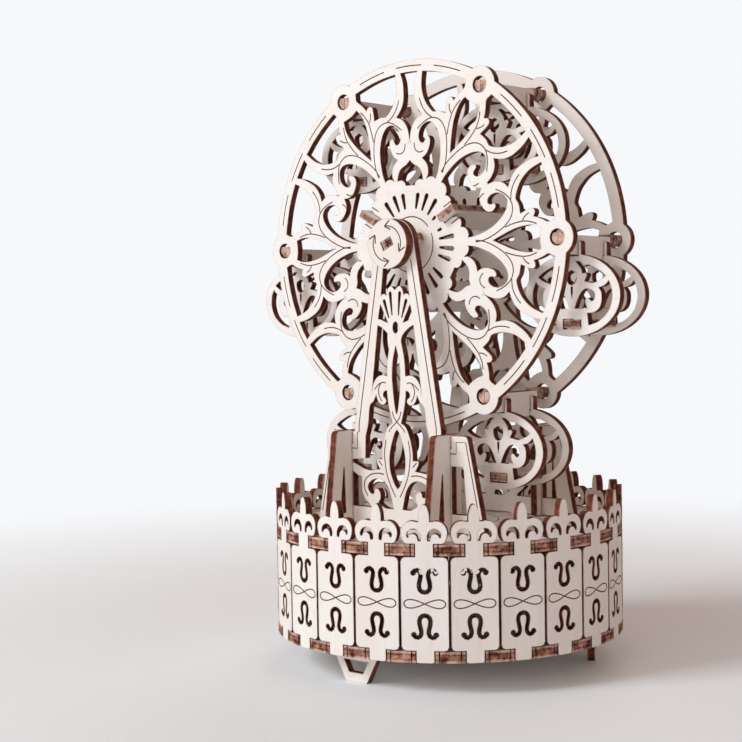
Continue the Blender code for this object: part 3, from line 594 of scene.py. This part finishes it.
class Look:
    """A finish, and the one way in which its nodes are added."""

    def __init__(self, name):
        self.material = bpy.data.materials.new(name)
        self.material.use_nodes = True
        self.tree = self.material.node_tree
        self.shader = self.tree.nodes["Principled BSDF"]

    def node(self, kind, sockets, output=0, **settings):
        made = added(self.tree, "ShaderNode" + kind, sockets, **settings)
        return Value(self, made.outputs[output])

    def feed(self, name, value):
        feed(self.tree, self.shader.inputs[name], value)

    def sum(self, operation, *values):
        return self.node("Math", dict(enumerate(values)), operation=operation)

    def mix(self, share, first, second):
        """One colour over another."""
        return self.node("Mix", {0: share, 6: first, 7: second}, 2, data_type="RGBA")

    def noise(self, spot, scale, detail, roughness, distortion=0.0):
        return self.node("TexNoise", {
            "Vector": spot, "Scale": scale, "Detail": detail, "Roughness": roughness,
            "Distortion": distortion})

    def stored(self, name):
        """A number that the mesh carries."""
        return self.node("Attribute", {}, 2, attribute_name=name)

    def place(self):
        return self.node("TexCoord", {}, 3)

    def finish(self, colour, roughness, height, depth):
        self.feed("Base Color", colour)
        self.feed("Roughness", roughness)
        self.feed("Specular IOR Level", 0.25)
        bump = self.node("Bump", {"Height": height, "Distance": depth, "Strength": 0.6})
        self.feed("Normal", bump)
        return self.material


def birch(name, pale, warm, along):
    """Birch veneer. `along` is how much the pattern is squeezed each way: least along the grain."""
    look = Look(name)
    board = look.stored("board")
    shift = look.node("CombineXYZ", {0: board * 0.31, 1: board * 0.53, 2: board * 0.17})
    spot = look.node("VectorMath", {0: look.place(), 1: shift}, operation="ADD")
    fibre_spot = look.node("Mapping", {"Vector": spot, "Scale": along})
    fibre = look.noise(fibre_spot, 1500, 4, 0.6)
    figure = look.noise(fibre_spot, 170, 2, 0.5, 0.6)
    cloud = look.noise(spot, 45, 2, 0.5)
    fleck = ((look.noise(fibre_spot, 3200, 1, 0.4) - 0.66) * 9).held()
    warmth = ((fibre - 0.5) * 0.5 + (figure - 0.5) * 0.8 + (cloud - 0.5) * 0.5
              + (board - look.sum("FLOOR", board) - 0.5) * 0.2 + 0.3).held()
    colour = look.mix(warmth, pale, warm)
    colour = look.mix(fleck * 0.22, colour, FLECK_BROWN)
    singe = look.noise(spot, 420, 2, 0.5)
    scorch = (look.stored("scorch") ** 2.2 * (0.25 + singe * 0.75)).held()
    colour = look.mix(scorch * 0.8, colour, SCORCH_BROWN)
    return look.finish(colour, (0.62 - fibre * 0.14).held(), fibre + figure * 0.6, 0.00004)


def burnt_edge(name, toast, skin_share, char_share=1.0):
    """A laser-cut edge of plywood, its plies and glue lines charred.

    `skin_share` of the outer plies stays pale, and `char_share` of the rest is charred.
    """
    look = Look(name)
    spot = look.place()
    off_middle = abs(look.stored("depth") - 0.5)
    glue = (1 - abs(off_middle - 0.2) * 14).held()
    core = (1 - off_middle * 5).held()
    skin = ((off_middle - 0.3) * 8).held()
    patch = look.noise(spot, 380, 3, 0.6)
    streak = look.noise(spot, 1900, 3, 0.65)
    light = ((patch - 0.45) * 2.8 + (streak - 0.5) * 1.6
             + 0.86 - 0.5 * char_share - glue * 0.5).held()
    colour = look.mix(light, CHAR, toast)
    colour = look.mix((skin * (patch * 3 - 0.9)).held() * skin_share, colour, PALE_PLY)
    colour = look.mix((core * (0.62 - patch) * 4.0).held() * (0.85 * char_share), colour, RED_CHAR)
    return look.finish(colour, (0.74 + streak * 0.2).held(), streak + patch * 0.5 - glue * 0.4, 0.00008)


def engraving():
    """The burnt floor of an engraved line."""
    look = Look("engraved line")
    spot = look.place()
    smoke = look.noise(spot, 900, 3, 0.6)
    colour = look.mix(((smoke - 0.35) * 2).held(), ENGRAVED_DARK, ENGRAVED_BROWN)
    return look.finish(colour, (0.8 + smoke * 0.1).held(), smoke, 0.00003)


def looks():
    """The finishes of every piece, by its slot in the record or by a name of their own."""
    fine_edge = burnt_edge("burnt edge", TOAST, 0.25)
    thick_edge = burnt_edge("lightly burnt edge", LIGHT_TOAST, 0.9)
    pale_edge = burnt_edge("pale cut edge", PALE_TOAST, 0.7, 0.6)
    line_floor = engraving()
    upright, lengthways = (1.0, 1.0, 0.07), (0.07, 1.0, 1.0)
    found = {}
    for part, pale, warm, along, edge in (
            ("disc", DISC_PALE, DISC_WARM, lengthways, thick_edge),
            ("panel", PALE, WARM, upright, fine_edge),
            ("pylon", PALE, WARM, upright, fine_edge),
            ("wheel", PALE, WARM, lengthways, fine_edge),
            ("cabin", PALE, WARM, lengthways, fine_edge),
            ("axle", AXLE_PALE, WARM, lengthways, pale_edge)):
        found[f"{part}_birch"] = (birch(f"{part} birch", pale, warm, along), edge, line_floor)
    found["vane"] = (found["wheel_birch"][FACE], pale_edge, line_floor)
    found["knob"] = (found["axle_birch"][FACE], fine_edge, line_floor)
    found["pins and tabs"] = (*found["cabin_birch"], pale_edge)
    return found


def placed(name, data):
    """A new object in the scene."""
    item = bpy.data.objects.new(name, data)
    bpy.context.scene.collection.objects.link(item)
    return item


def dress(name, mesh, body, slot, nodes, look=None):
    """Adds one finished piece in the place of its solids. A ring brings its finishes with it."""
    for material in finishes[look or slot][len(mesh.materials):]:
        mesh.materials.append(material)
    mesh.shade_smooth()
    mesh.set_sharp_from_angle(angle=math.radians(32))
    item = placed("cut_" + name.replace(" ", "_"), mesh)
    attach(item, body)
    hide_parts(*nodes)


def cut(name, sheet, where, board, body, slot, node, look=None):
    """Adds one sheet, finished, in the place of its solid."""
    dress(name, sheet.mesh(name, where, board), body, slot, [node], look)


def notched_disc():
    """A disc with a notch for every panel's neck and a relief slit on both sides of it."""
    neck, tooth, slit, floor, deep = 2.7, 3.55, 3.95, 48.56, 48.9
    rise = [math.sqrt(DISC_RADIUS ** 2 - x * x) for x in (neck, tooth, slit)]
    half = [(floor, neck), (rise[0], neck), (rise[1], tooth), (deep, tooth), (deep, slit), (rise[2], slit)]
    notch = [(x, -y) for x, y in reversed(half)] + half
    pitch = 360 / PANEL_COUNT
    gap = math.degrees(math.asin(slit / DISC_RADIUS))
    loop = []
    for i in range(PANEL_COUNT):
        loop += turned(notch + arc(DISC_RADIUS, gap, pitch - gap, 1.2)[1:-1], i * pitch - 90)
    return loop


def base_disc():
    half = 3.3
    slot = rectangle(-half, -FOOT_FACE - FIT, half, FINE + FIT - FOOT_FACE)
    slots = [turned(slot, THIRD * i) for i in range(3)]
    sheet = Sheet([[notched_disc()], slots], THICK)
    cut("base disc", sheet, lying(BASE_BOTTOM), .2, "root", "disc_birch", "base_disc")


def deck_disc():
    """The deck, scored like paving round the wheel's feet."""
    half, near, far, gap = 2.5, 26.7, 32.3, 2
    slots = [rectangle(x - half, PYLON_FACE - FINE - FIT, x + half, PYLON_FACE + FIT)
             for x in PYLON_TABS]
    slots.append(rectangle(BUTTRESS_X - LAP_HALF, near, BUTTRESS_X + LAP_HALF, far))
    slots = both(slots)
    slots += [turned(loop, 180) for loop in slots]
    scores = []
    for inner, outer, stones, start in PAVING:
        step = 360 / stones
        joints = [start + i * step for i in range(stones)]
        scores += [arc(outer, joint + gap, joint + step - gap) for joint in joints]
        scores += [turned([(inner, 0.0), (outer - 1.0, 0.0)], joint) for joint in joints]
    grooves = [band(path, LINE / 2) for path in scores]
    grooves = [groove for groove in grooves if clear_of(groove, slots, 0.8)]
    sheet = Sheet([[notched_disc()], slots], THICK, lines=grooves)
    cut("deck disc", sheet, lying(DECK_BOTTOM), .7, "root", "disc_birch", "deck_disc")


def clear_of(groove, loops, room):
    """Whether an engraved line keeps this far from every one of the loops."""
    points = np.asarray(groove)
    boxes = [(np.min(loop, axis=0) - room, np.max(loop, axis=0) + room) for loop in loops]
    return not any(np.all((points > low) & (points < high), axis=1).any() for low, high in boxes)


def panel():
    """One panel of the drum: a scored plate between two necks, under a pierced crest."""
    side, low, high, corner = PANEL_HALF, BASE_TOP + FIT, DECK_BOTTOM - FIT, 1.2
    bend = corner * 0.3
    body = mirrored([
        (side - corner, high), (side - bend, high - bend), (side, high - corner),
        (side, low + corner), (side - bend, low + bend), (side - corner, low),
    ])
    stem = mirrored([
        (NECK_HALF, CREST_BOTTOM + .6), (NECK_HALF, BASE_BOTTOM + .5),
        (NECK_HALF - .15, BASE_BOTTOM + .15), (NECK_HALF - .5, BASE_BOTTOM),
    ])
    crest = smooth(mirrored(CREST))
    ball, (aside, up) = circle(OMEGA_BALL, 0.35), OMEGA[0]
    omega = band(mirrored(smooth(OMEGA, False)), OMEGA_HALF)
    upper = [omega, moved(ball, aside, up), moved(ball, -aside, up)]
    lower = [[(x, 2 * PANEL_MIDDLE - y) for x, y in reversed(loop)] for loop in upper]
    loops = []
    for angle in (math.radians(degrees) for degrees in range(0, 361, 5)):
        rise = LOOP_RISE * math.sin(2 * angle) / (1 + 0.12 * abs(math.sin(angle)))
        loops.append((LOOP_HALF * math.sin(angle), PANEL_MIDDLE + rise))
    cuts = [*both([smooth(CRESCENT)]), *upper, *lower]
    return Sheet([[body, stem, crest], cuts], FINE, lines=[band(loops, LINE / 2)])


def ring_tree(face, edge, line_floor):
    """Copies of one piece round the drum's axis, each from its own stretch of veneer."""
    tree = bpy.data.node_groups.new("ring of panels", "GeometryNodeTree")
    for name, kind in (("Piece", "Geometry"), ("Count", "Int"), ("Turn between", "Float"),
                       ("Veneer seed", "Int")):
        tree.interface.new_socket(name, in_out="INPUT", socket_type=f"NodeSocket{kind}")
    tree.interface.new_socket("Ring", in_out="OUTPUT", socket_type="NodeSocketGeometry")

    def node(kind, sockets, family="Geometry", **settings):
        made = added(tree, f"{family}Node{kind}", sockets, **settings)
        return next(socket for socket in made.outputs if socket.enabled)

    given = tree.nodes.new("NodeGroupInput").outputs
    spots = node("Points", {"Count": given["Count"]})
    index = node("InputIndex", {})
    angle = node("Math", {0: index, 1: given["Turn between"]}, "Shader", operation="MULTIPLY")
    turn = node("CombineXYZ", {"Z": angle}, "Shader")
    copies = node("InstanceOnPoints", {"Points": spots, "Instance": given["Piece"], "Rotation": turn})
    chance = node("RandomValue", {"Seed": given["Veneer seed"]}, "Function", data_type="FLOAT")
    veneer = node("StoreNamedAttribute", {"Geometry": copies, "Name": "board", "Value": chance},
                  data_type="FLOAT", domain="INSTANCE")
    real = node("RealizeInstances", {"Geometry": veneer})
    part = node("InputNamedAttribute", {"Name": "finish"}, data_type="INT")
    shape = node("SetMaterial", {"Geometry": real, "Material": face})
    for code, material in ((EDGE, edge), (ENGRAVED, line_floor)):
        chosen = node("Compare", {2: part, 3: code}, "Function", data_type="INT", operation="EQUAL")
        shape = node("SetMaterial", {"Geometry": shape, "Selection": chosen, "Material": material})
    added(tree, "NodeGroupOutput", {0: shape})
    return tree


def ringed(mesh, count, seed):
    """The mesh repeated round the upright axis, as one plain mesh."""
    source = placed("ring source", mesh)
    modifier = source.modifiers.new("ring", "NODES")
    modifier.node_group = ring_tree(*finishes["panel_birch"])
    sizes = {"Count": count, "Turn between": 2 * math.pi / count, "Veneer seed": seed}
    for item in modifier.node_group.interface.items_tree:
        if item.name in sizes:
            modifier[item.identifier] = sizes[item.name]
    graph = bpy.context.evaluated_depsgraph_get()
    graph.update()
    ring = bpy.data.meshes.new_from_object(source.evaluated_get(graph))
    source.modifiers.remove(modifier)
    bpy.data.objects.remove(source)
    return ring


def drum_panels():
    one = panel().mesh("panel", facing_front(0, FINE - PANEL_FACE, 0))
    dress("ring of panels", ringed(one, PANEL_COUNT, 7), "root", "panel_birch",
          [f"drum_panel_{i + 1:02d}" for i in range(PANEL_COUNT)])


def feet():
    tab = rectangle(-3, BASE_BOTTOM - 1.3, 3, BASE_TOP)
    sheet = Sheet([[mirrored(FOOT_SIDE), tab], [mirrored(FOOT_WINDOW)]], FINE)
    foot = sheet.mesh("foot", facing_front(0, FINE - FOOT_FACE, 0))
    dress("feet", ringed(foot, 3, 3), "root", "panel_birch",
          ["foot_front", "foot_right", "foot_left"])


def pylon():
    """A pierced sheet with a round head for the axle and four tabs for the deck."""
    tab_half, bore, lap_bottom = 2.2, 3.05, 64.5
    outside = mirrored(PYLON_SIDE)
    head = moved(circle(PYLON_HEAD, 0.7), 0, HUB)
    tabs = [rectangle(x - tab_half, DECK_BOTTOM, x + tab_half, SOLE + 1) for x in PYLON_TABS]
    lap = rectangle(BUTTRESS_X - LAP_HALF, lap_bottom, BUTTRESS_X + LAP_HALF, BUTTRESS_TOP + .7)
    cuts = [smooth(loop) for loop in (FAN_SIDE, UPPER_SIDE, VOLUTE, SPIRAL_EYE, ARM_EYE, WINDOW)]
    for outer, inner, half in FAN_SLITS:
        cuts += [band([outer, inner], half, 0.18), moved(circle(half, 0.3), *outer)]
    cuts = both([*cuts, lap])
    cuts += [smooth(mirrored(loop)) for loop in (HEAD_EYE, UPPER_ALMOND, LOWER_ALMOND)]
    cuts.append([(x * 1.05, y * 1.7 + 98.2) for x, y in circle(1, 0.25)])
    cuts.append(moved(circle(bore, 0.5), 0, HUB))
    lines = both([line(path) for path in PYLON_LINES])
    return Sheet([[outside, head, *both(tabs)], cuts], FINE, lines=lines)


def buttresses():
    """Four braces, each lapped over a shoulder of a pylon and tabbed into the deck."""
    tab = rectangle(3.4, DECK_BOTTOM, 8.4, SOLE + 1)
    lap = rectangle(-FINE - FIT, SOLE - 1, FIT, 64.8)
    sheet = Sheet([[BUTTRESS, tab], [lap, BUTTRESS_SLOT]], FINE, -FINE / 2)
    for i, (side, x) in enumerate((("left", -BUTTRESS_X), ("right", BUTTRESS_X))):
        for j, (end, out) in enumerate((("front", -1), ("rear", 1))):
            where = stand((x, out * PYLON_FACE, 0), (0, out, 0), (0, 0, 1))
            cut(f"buttress {end} {side}", sheet, where, 0.2 + i * 0.3 + j * 0.17,
                "root", "pylon_birch", f"buttress_{end}_{side}")


def pylons():
    sheet, place = pylon(), PYLON_FACE - FINE
    cut("front pylon", sheet, facing_front(0, -place, 0), .35, "root", "pylon_birch", "pylon_front")
    cut("rear pylon", sheet, facing_rear(0, place, 0), .65, "root", "pylon_birch", "pylon_rear")
    buttresses()


def axle_hole(half, tilt):
    """A slot for the axle strip, a tenth of a millimetre clear of each face."""
    high = AXLE_THICK / 2 + .1
    return turned(rectangle(-half, -high, half, high), tilt)


def wheel_plate(tilt):
    """A fretwork disc: six spokes, and between them scrolls that stand on legs or hang free."""
    slot_half, slot_end = 1.4, 21.5
    solid, cuts, lines = [circle(RIM_OUTER)], [], []
    tear = smooth(TEAR + [(x, -y) for x, y in reversed(TEAR[1:-1])])
    for i in range(SECTORS):
        pin = turned([(SPOKE, 0)], SECTOR * i)[0]
        solid.append(moved(circle(BOSS, 0.7), *pin))
        cuts.append(moved(circle(PIN_HOLE, 0.45), *pin))
        cuts.append(turned(tear, SECTOR * i))
    sides = both([line(path) for path in STRAND_LINES])
    dashes = [band(arc(RIM_DASH, 90 + a, 90 + b, 0.8), LINE / 2) for a, b in RIM_DASHES]
    for i in range(SECTORS):
        legs = i % 2 == 0
        tip = smooth(mirrored(RIM_TIP if legs else RIM_TIP_FREE))
        loops = both([smooth(RIM_EYE)]) + [tip]
        if legs:
            loops += [*both([smooth(SCROLL + LEG)]), smooth(mirrored(ARCH))]
        else:
            # Two free bulbs hang over one open space, where a vane passes.
            loops.append(smooth(mirrored(SCROLL + BULB)))
        cuts += [turned(loop, SECTOR * i) for loop in loops]
        lines += [turned(loop, SECTOR * i) for loop in sides + dashes]

    hub = []
    edge = smooth(flipped(HUB_EDGE)[:-1] + HUB_EDGE, False)
    for i in range(SECTORS):
        hub += turned(edge[::-1], SECTOR * i)
    slits = [axle_hole(2.45, tilt)]
    for fan in range(3):
        for side in (-1, 1):
            for turn, inner, outer in HUB_SLITS:
                half = 0.66 if turn < 50 else 0.45
                angle, end = THIRD * fan + side * turn, outer - half
                slits.append(turned(band([(0, inner), (0, end)], 0.3, half), angle))
                slits.append(turned(moved(circle(half, 0.3), 0, end), angle))
        vane = THIRD * fan - 90
        slits.append(turned(rectangle(VANE_NEAR - FIT, -slot_half, slot_end, slot_half), vane))
        marks = [band([(15.4, y), (18.6, y)], LINE / 2) for y in (-2.75, 2.75)]
        lines += [turned(mark, vane) for mark in marks]
        lines.append(band(arc(8.0, vane + 8, vane + 112, 0.6), LINE / 2))
    return Sheet([solid, cuts, [hub], slits], FINE, lines=lines)


def across_wheel(degrees):
    """Where a sheet along the axle stands, at an angle from the right, its front drawn up."""
    angle = math.radians(degrees)
    return stand((0, 0, HUB), (math.cos(angle), 0, math.sin(angle)), (0, -1, 0))


def vanes():
    half, tab = WHEEL_FACE - FINE - FIT, WHEEL_FACE + 2.4
    body = rectangle(10.5, -half, VANE_FAR, half)
    tabs = rectangle(VANE_NEAR, -tab, VANE_FAR, tab)
    sheet = Sheet([[body, tabs]], FINE, -FINE / 2)
    for i, side in enumerate(("bottom", "right", "left")):
        cut(f"vane {side}", sheet, across_wheel(THIRD * i - 90), 0.1 + i * 0.3,
            "wheel", "wheel_birch", f"vane_{side}", "vane")


def axle():
    """Drawn from the barbed tail up to the knob."""
    half, tail, end, shoulder_half, top = 2.3, 23.9, 26.3, 5.0, KNOB_BACK + THICK
    strip = rectangle(-half, -end, half, KNOB_BACK)
    tenon = mirrored([(1.5, top), (1.85, top - .3), (1.85, KNOB_BACK - 1)])
    shoulder = rectangle(-shoulder_half, WHEEL_FACE + FIT, shoulder_half, PYLON_FACE - FINE - FIT)
    barbs = mirrored([(half + 1.0, -tail), (half + .8, -tail - .5), (half, -end)])
    tail_slit = rectangle(-.8, -end - 1, .8, 14.0 - end)
    tenon_slit = rectangle(-.24, top - 6.0, .24, top + 1)
    layers = [[strip, tenon, shoulder, barbs], [tail_slit, tenon_slit]]
    cut("axle strip", Sheet(layers, AXLE_THICK, -AXLE_THICK / 2), across_wheel(TILT), .4,
        "wheel", "axle_birch", "axle_strip")


def knob():
    """The crank knob, with two engraved arrows that show that it turns both ways."""
    radius, shaft, arm, spread, lines = 7.1, 5.0, 2.4, 33, []
    for start, end in ((99, -28), (149, 278)):
        lines.append(band(arc(shaft, start, end, 0.5), LINE / 2))
        way = 1 if end > start else -1
        for tip, back in ((start, way), (end, -way)):
            point = Vector(turned([(shaft, 0)], tip)[0])
            along = tuple(Vector(turned([(0, back)], tip)[0]))
            for side in (-spread, spread):
                barb = point + Vector(turned([along], side)[0]) * arm
                lines.append(band([tuple(point), tuple(barb)], LINE / 2 + .04))
    sheet = Sheet([[circle(radius, 0.5)], [axle_hole(2.05, TILT)]], THICK, lines=lines)
    cut("knob", sheet, facing_front(0, -KNOB_BACK, HUB), .15, "wheel", "axle_birch", "knob", "knob")


def wheel():
    place = WHEEL_FACE - FINE
    cut("front wheel plate", wheel_plate(TILT), facing_front(0, -place, HUB), .25,
        "wheel", "wheel_birch", "wheel_front")
    cut("rear wheel plate", wheel_plate(-TILT), facing_rear(0, place, HUB), .8,
        "wheel", "wheel_birch", "wheel_rear")
    vanes()
    axle()
    knob()


def cabin_side(slotted):
    """One side of a cabin. The front one has a slot for the floor's tab."""
    bar_half, slot_half = 2.3, 2.95
    oval = [(OVAL_WIDE * x, OVAL_HIGH * y - OVAL_DROP) for x, y in arc(1, 0, 360, 0.05)[:-1]]
    cuts = both([smooth(loop) for loop in (CABIN_TOP, CABIN_SIDE, CABIN_EYE)])
    cuts += [smooth(mirrored(CABIN_HEART)), mirrored(CABIN_SPIKE)]
    cuts.append(rectangle(-bar_half, -5.0, bar_half, 0))
    if slotted:
        cuts.append(rectangle(-slot_half, -24.8, slot_half, -22.0))
    return Sheet([[oval, mirrored(CABIN_NECK)], cuts], FINE)


def cabin_floor():
    """A board with a tab at both ends, and pale edges."""
    tab, half, near, far = 2.6, 6.0, FINE + FIT, FLOOR_LENGTH - FINE - FIT
    board = [(tab, 0.0), (tab, near), (half, near), (half, far), (tab, far), (tab, FLOOR_LENGTH)]
    sheet = Sheet([[mirrored(board)]], FINE)
    sheet.finishes = [PALE_EDGE if finish == EDGE else finish for finish in sheet.finishes]
    return sheet


def hanger_strip():
    """Drawn with the front to the right: a bar with a dip between the cabin's sides."""
    front, rear, low, high, corner = 12.9, 7.9, -4.7, .6, .3
    bar = [(-rear, low), (front, low), (front, high - corner), (front - corner, high),
           (corner - rear, high), (-rear, high - corner)]
    dip = rectangle(2.5 - CABIN_REAR, -6.6, CABIN_FRONT - 2.5, 0)
    return Sheet([[bar, dip]], 1.93)


def hanger_pin(length):
    """The ends of a hanger's two strips: rounded to turn in their hole, and pale all over."""
    half = [(.09, -PIN_RADIUS), *arc(PIN_RADIUS, -87, 40, .5), (.09, 1.26)]
    pin = Sheet([[half, flipped(half)]], length)
    pin.finishes = [PALE_EDGE] * len(pin.finishes)
    return pin


def cabins():
    front, rear, floor, strip = cabin_side(True), cabin_side(False), cabin_floor(), hanger_strip()
    front_pin, rear_pin = hanger_pin(2.9), hanger_pin(7.9)
    for i in range(SECTORS):
        x, z = moved(turned([(SPOKE, 0)], SECTOR * i), 0, HUB)[0]
        body, board = f"cabin_{i + 1}", i * 0.37
        cut(f"front side {i + 1}", front, facing_front(x, FINE - CABIN_FRONT, z), board,
            body, "cabin_birch", f"{body}_front")
        lying_floor = stand((x, CABIN_REAR, z - FLOOR_DROP), (1, 0, 0), (0, -1, 0))
        shell = [rear.mesh("rear side", facing_rear(x, CABIN_REAR - FINE, z), board + .4),
                 floor.mesh("floor", lying_floor, board)]
        bar = [strip.mesh("strip", stand((x + aside, 0, z), (0, -1, 0), (0, 0, 1)), board + aside * .1)
               for aside in (0.03, 1.99)]
        bar += [pin.mesh("pin", facing_front(x, y, z), board)
                for pin, y in ((front_pin, -PIN_FRONT), (rear_pin, PIN_REAR))]
        for name, parts, end in (("rear side and floor", shell, "rear"), ("hanger", bar, "hanger")):
            dress(f"{name} {i + 1}", united(parts), body, "cabin_birch", [f"{body}_{end}"],
                  "pins and tabs")


def united(meshes):
    """Several meshes as one, each keeping its own closed skin."""
    items = [placed("part", mesh) for mesh in meshes]
    with bpy.context.temp_override(active_object=items[0], selected_editable_objects=items):
        bpy.ops.object.join()
    mesh = items[0].data
    finish = np.zeros(len(mesh.polygons), np.int32)
    mesh.attributes["finish"].data.foreach_get("value", finish)
    mesh.polygons.foreach_set("material_index", finish)
    bpy.data.objects.remove(items[0])
    return mesh


def table():
    """A pale table that melts into the backdrop a little way off, where only the camera sees it."""
    look = Look("table")
    spot = look.place()
    grain = look.noise(spot, 60, 2, 0.5)
    look.feed("Base Color", look.mix(grain * 0.3, TABLE_PALE, TABLE_GREY))
    look.feed("Roughness", 0.8)
    away = look.node("VectorMath", {0: spot}, 1, operation="LENGTH")
    fade = look.node("MapRange", {"Value": away, "From Min": 0.09, "From Max": 0.42},
                     interpolation_type="SMOOTHSTEP")
    seen = look.node("LightPath", {})
    glow = look.node("Emission", {"Color": BACKDROP})
    lit = Value(look, look.shader.outputs[0])
    surface = look.node("MixShader", {0: fade * seen, 1: lit, 2: glow})
    feed(look.tree, look.tree.nodes["Material Output"].inputs["Surface"], surface)
    mesh = bpy.data.meshes.new("table")
    corners = rectangle(-TABLE_REACH, -TABLE_REACH, TABLE_REACH, TABLE_REACH)
    mesh.from_pydata([(x, y, 0) for x, y in corners], [], [(0, 1, 2, 3)])
    mesh.materials.append(look.material)
    placed("table", mesh)


def surroundings():
    """Warm light from all round, which the camera sees as the backdrop."""
    world = bpy.data.worlds.new("studio")
    bpy.context.scene.world = world
    world.use_nodes = True
    tree = world.node_tree
    ambient = tree.nodes["Background"]
    feed(tree, ambient.inputs["Color"], AMBIENT)
    feed(tree, ambient.inputs["Strength"], 0.36)
    seen = added(tree, "ShaderNodeBackground", {"Color": BACKDROP})
    path = added(tree, "ShaderNodeLightPath", {})
    mix = added(tree, "ShaderNodeMixShader", {
        0: path.outputs["Is Camera Ray"], 1: ambient.outputs[0], 2: seen.outputs[0]})
    feed(tree, tree.nodes["World Output"].inputs["Surface"], mix.outputs[0])


def lamps():
    for name, spot, size, power, colour in LAMPS:
        lamp = bpy.data.lights.new(name, "AREA")
        lamp.size, lamp.energy, lamp.color = size, power, colour
        item = placed(name, lamp)
        item.location = spot
        toward = Vector(LAMP_TARGET) - Vector(spot)
        item.rotation_euler = toward.to_track_quat("-Z", "Y").to_euler()


def camera():
    """The camera, where the photograph was taken from."""
    place = Vector(CAMERA_PLACE)
    ahead = (Vector(CAMERA_TARGET) - place).normalized()
    right = ahead.cross(Vector((0, 0, 1))).normalized()
    up = right.cross(ahead)
    cos, sin = math.cos(CAMERA_ROLL), math.sin(CAMERA_ROLL)
    turn = Matrix((right * cos + up * sin, up * cos - right * sin, -ahead)).transposed().to_4x4()
    lens = bpy.data.cameras.new("camera")
    lens.sensor_width, lens.lens = SENSOR, LENS
    item = placed("camera", lens)
    item.matrix_world = Matrix.Translation(place * MM) @ turn
    bpy.context.scene.camera = item
    bpy.context.scene.view_settings.view_transform = "Standard"


finishes = looks()
base_disc()
deck_disc()
drum_panels()
feet()
pylons()
wheel()
cabins()
table()
surroundings()
lamps()
camera()
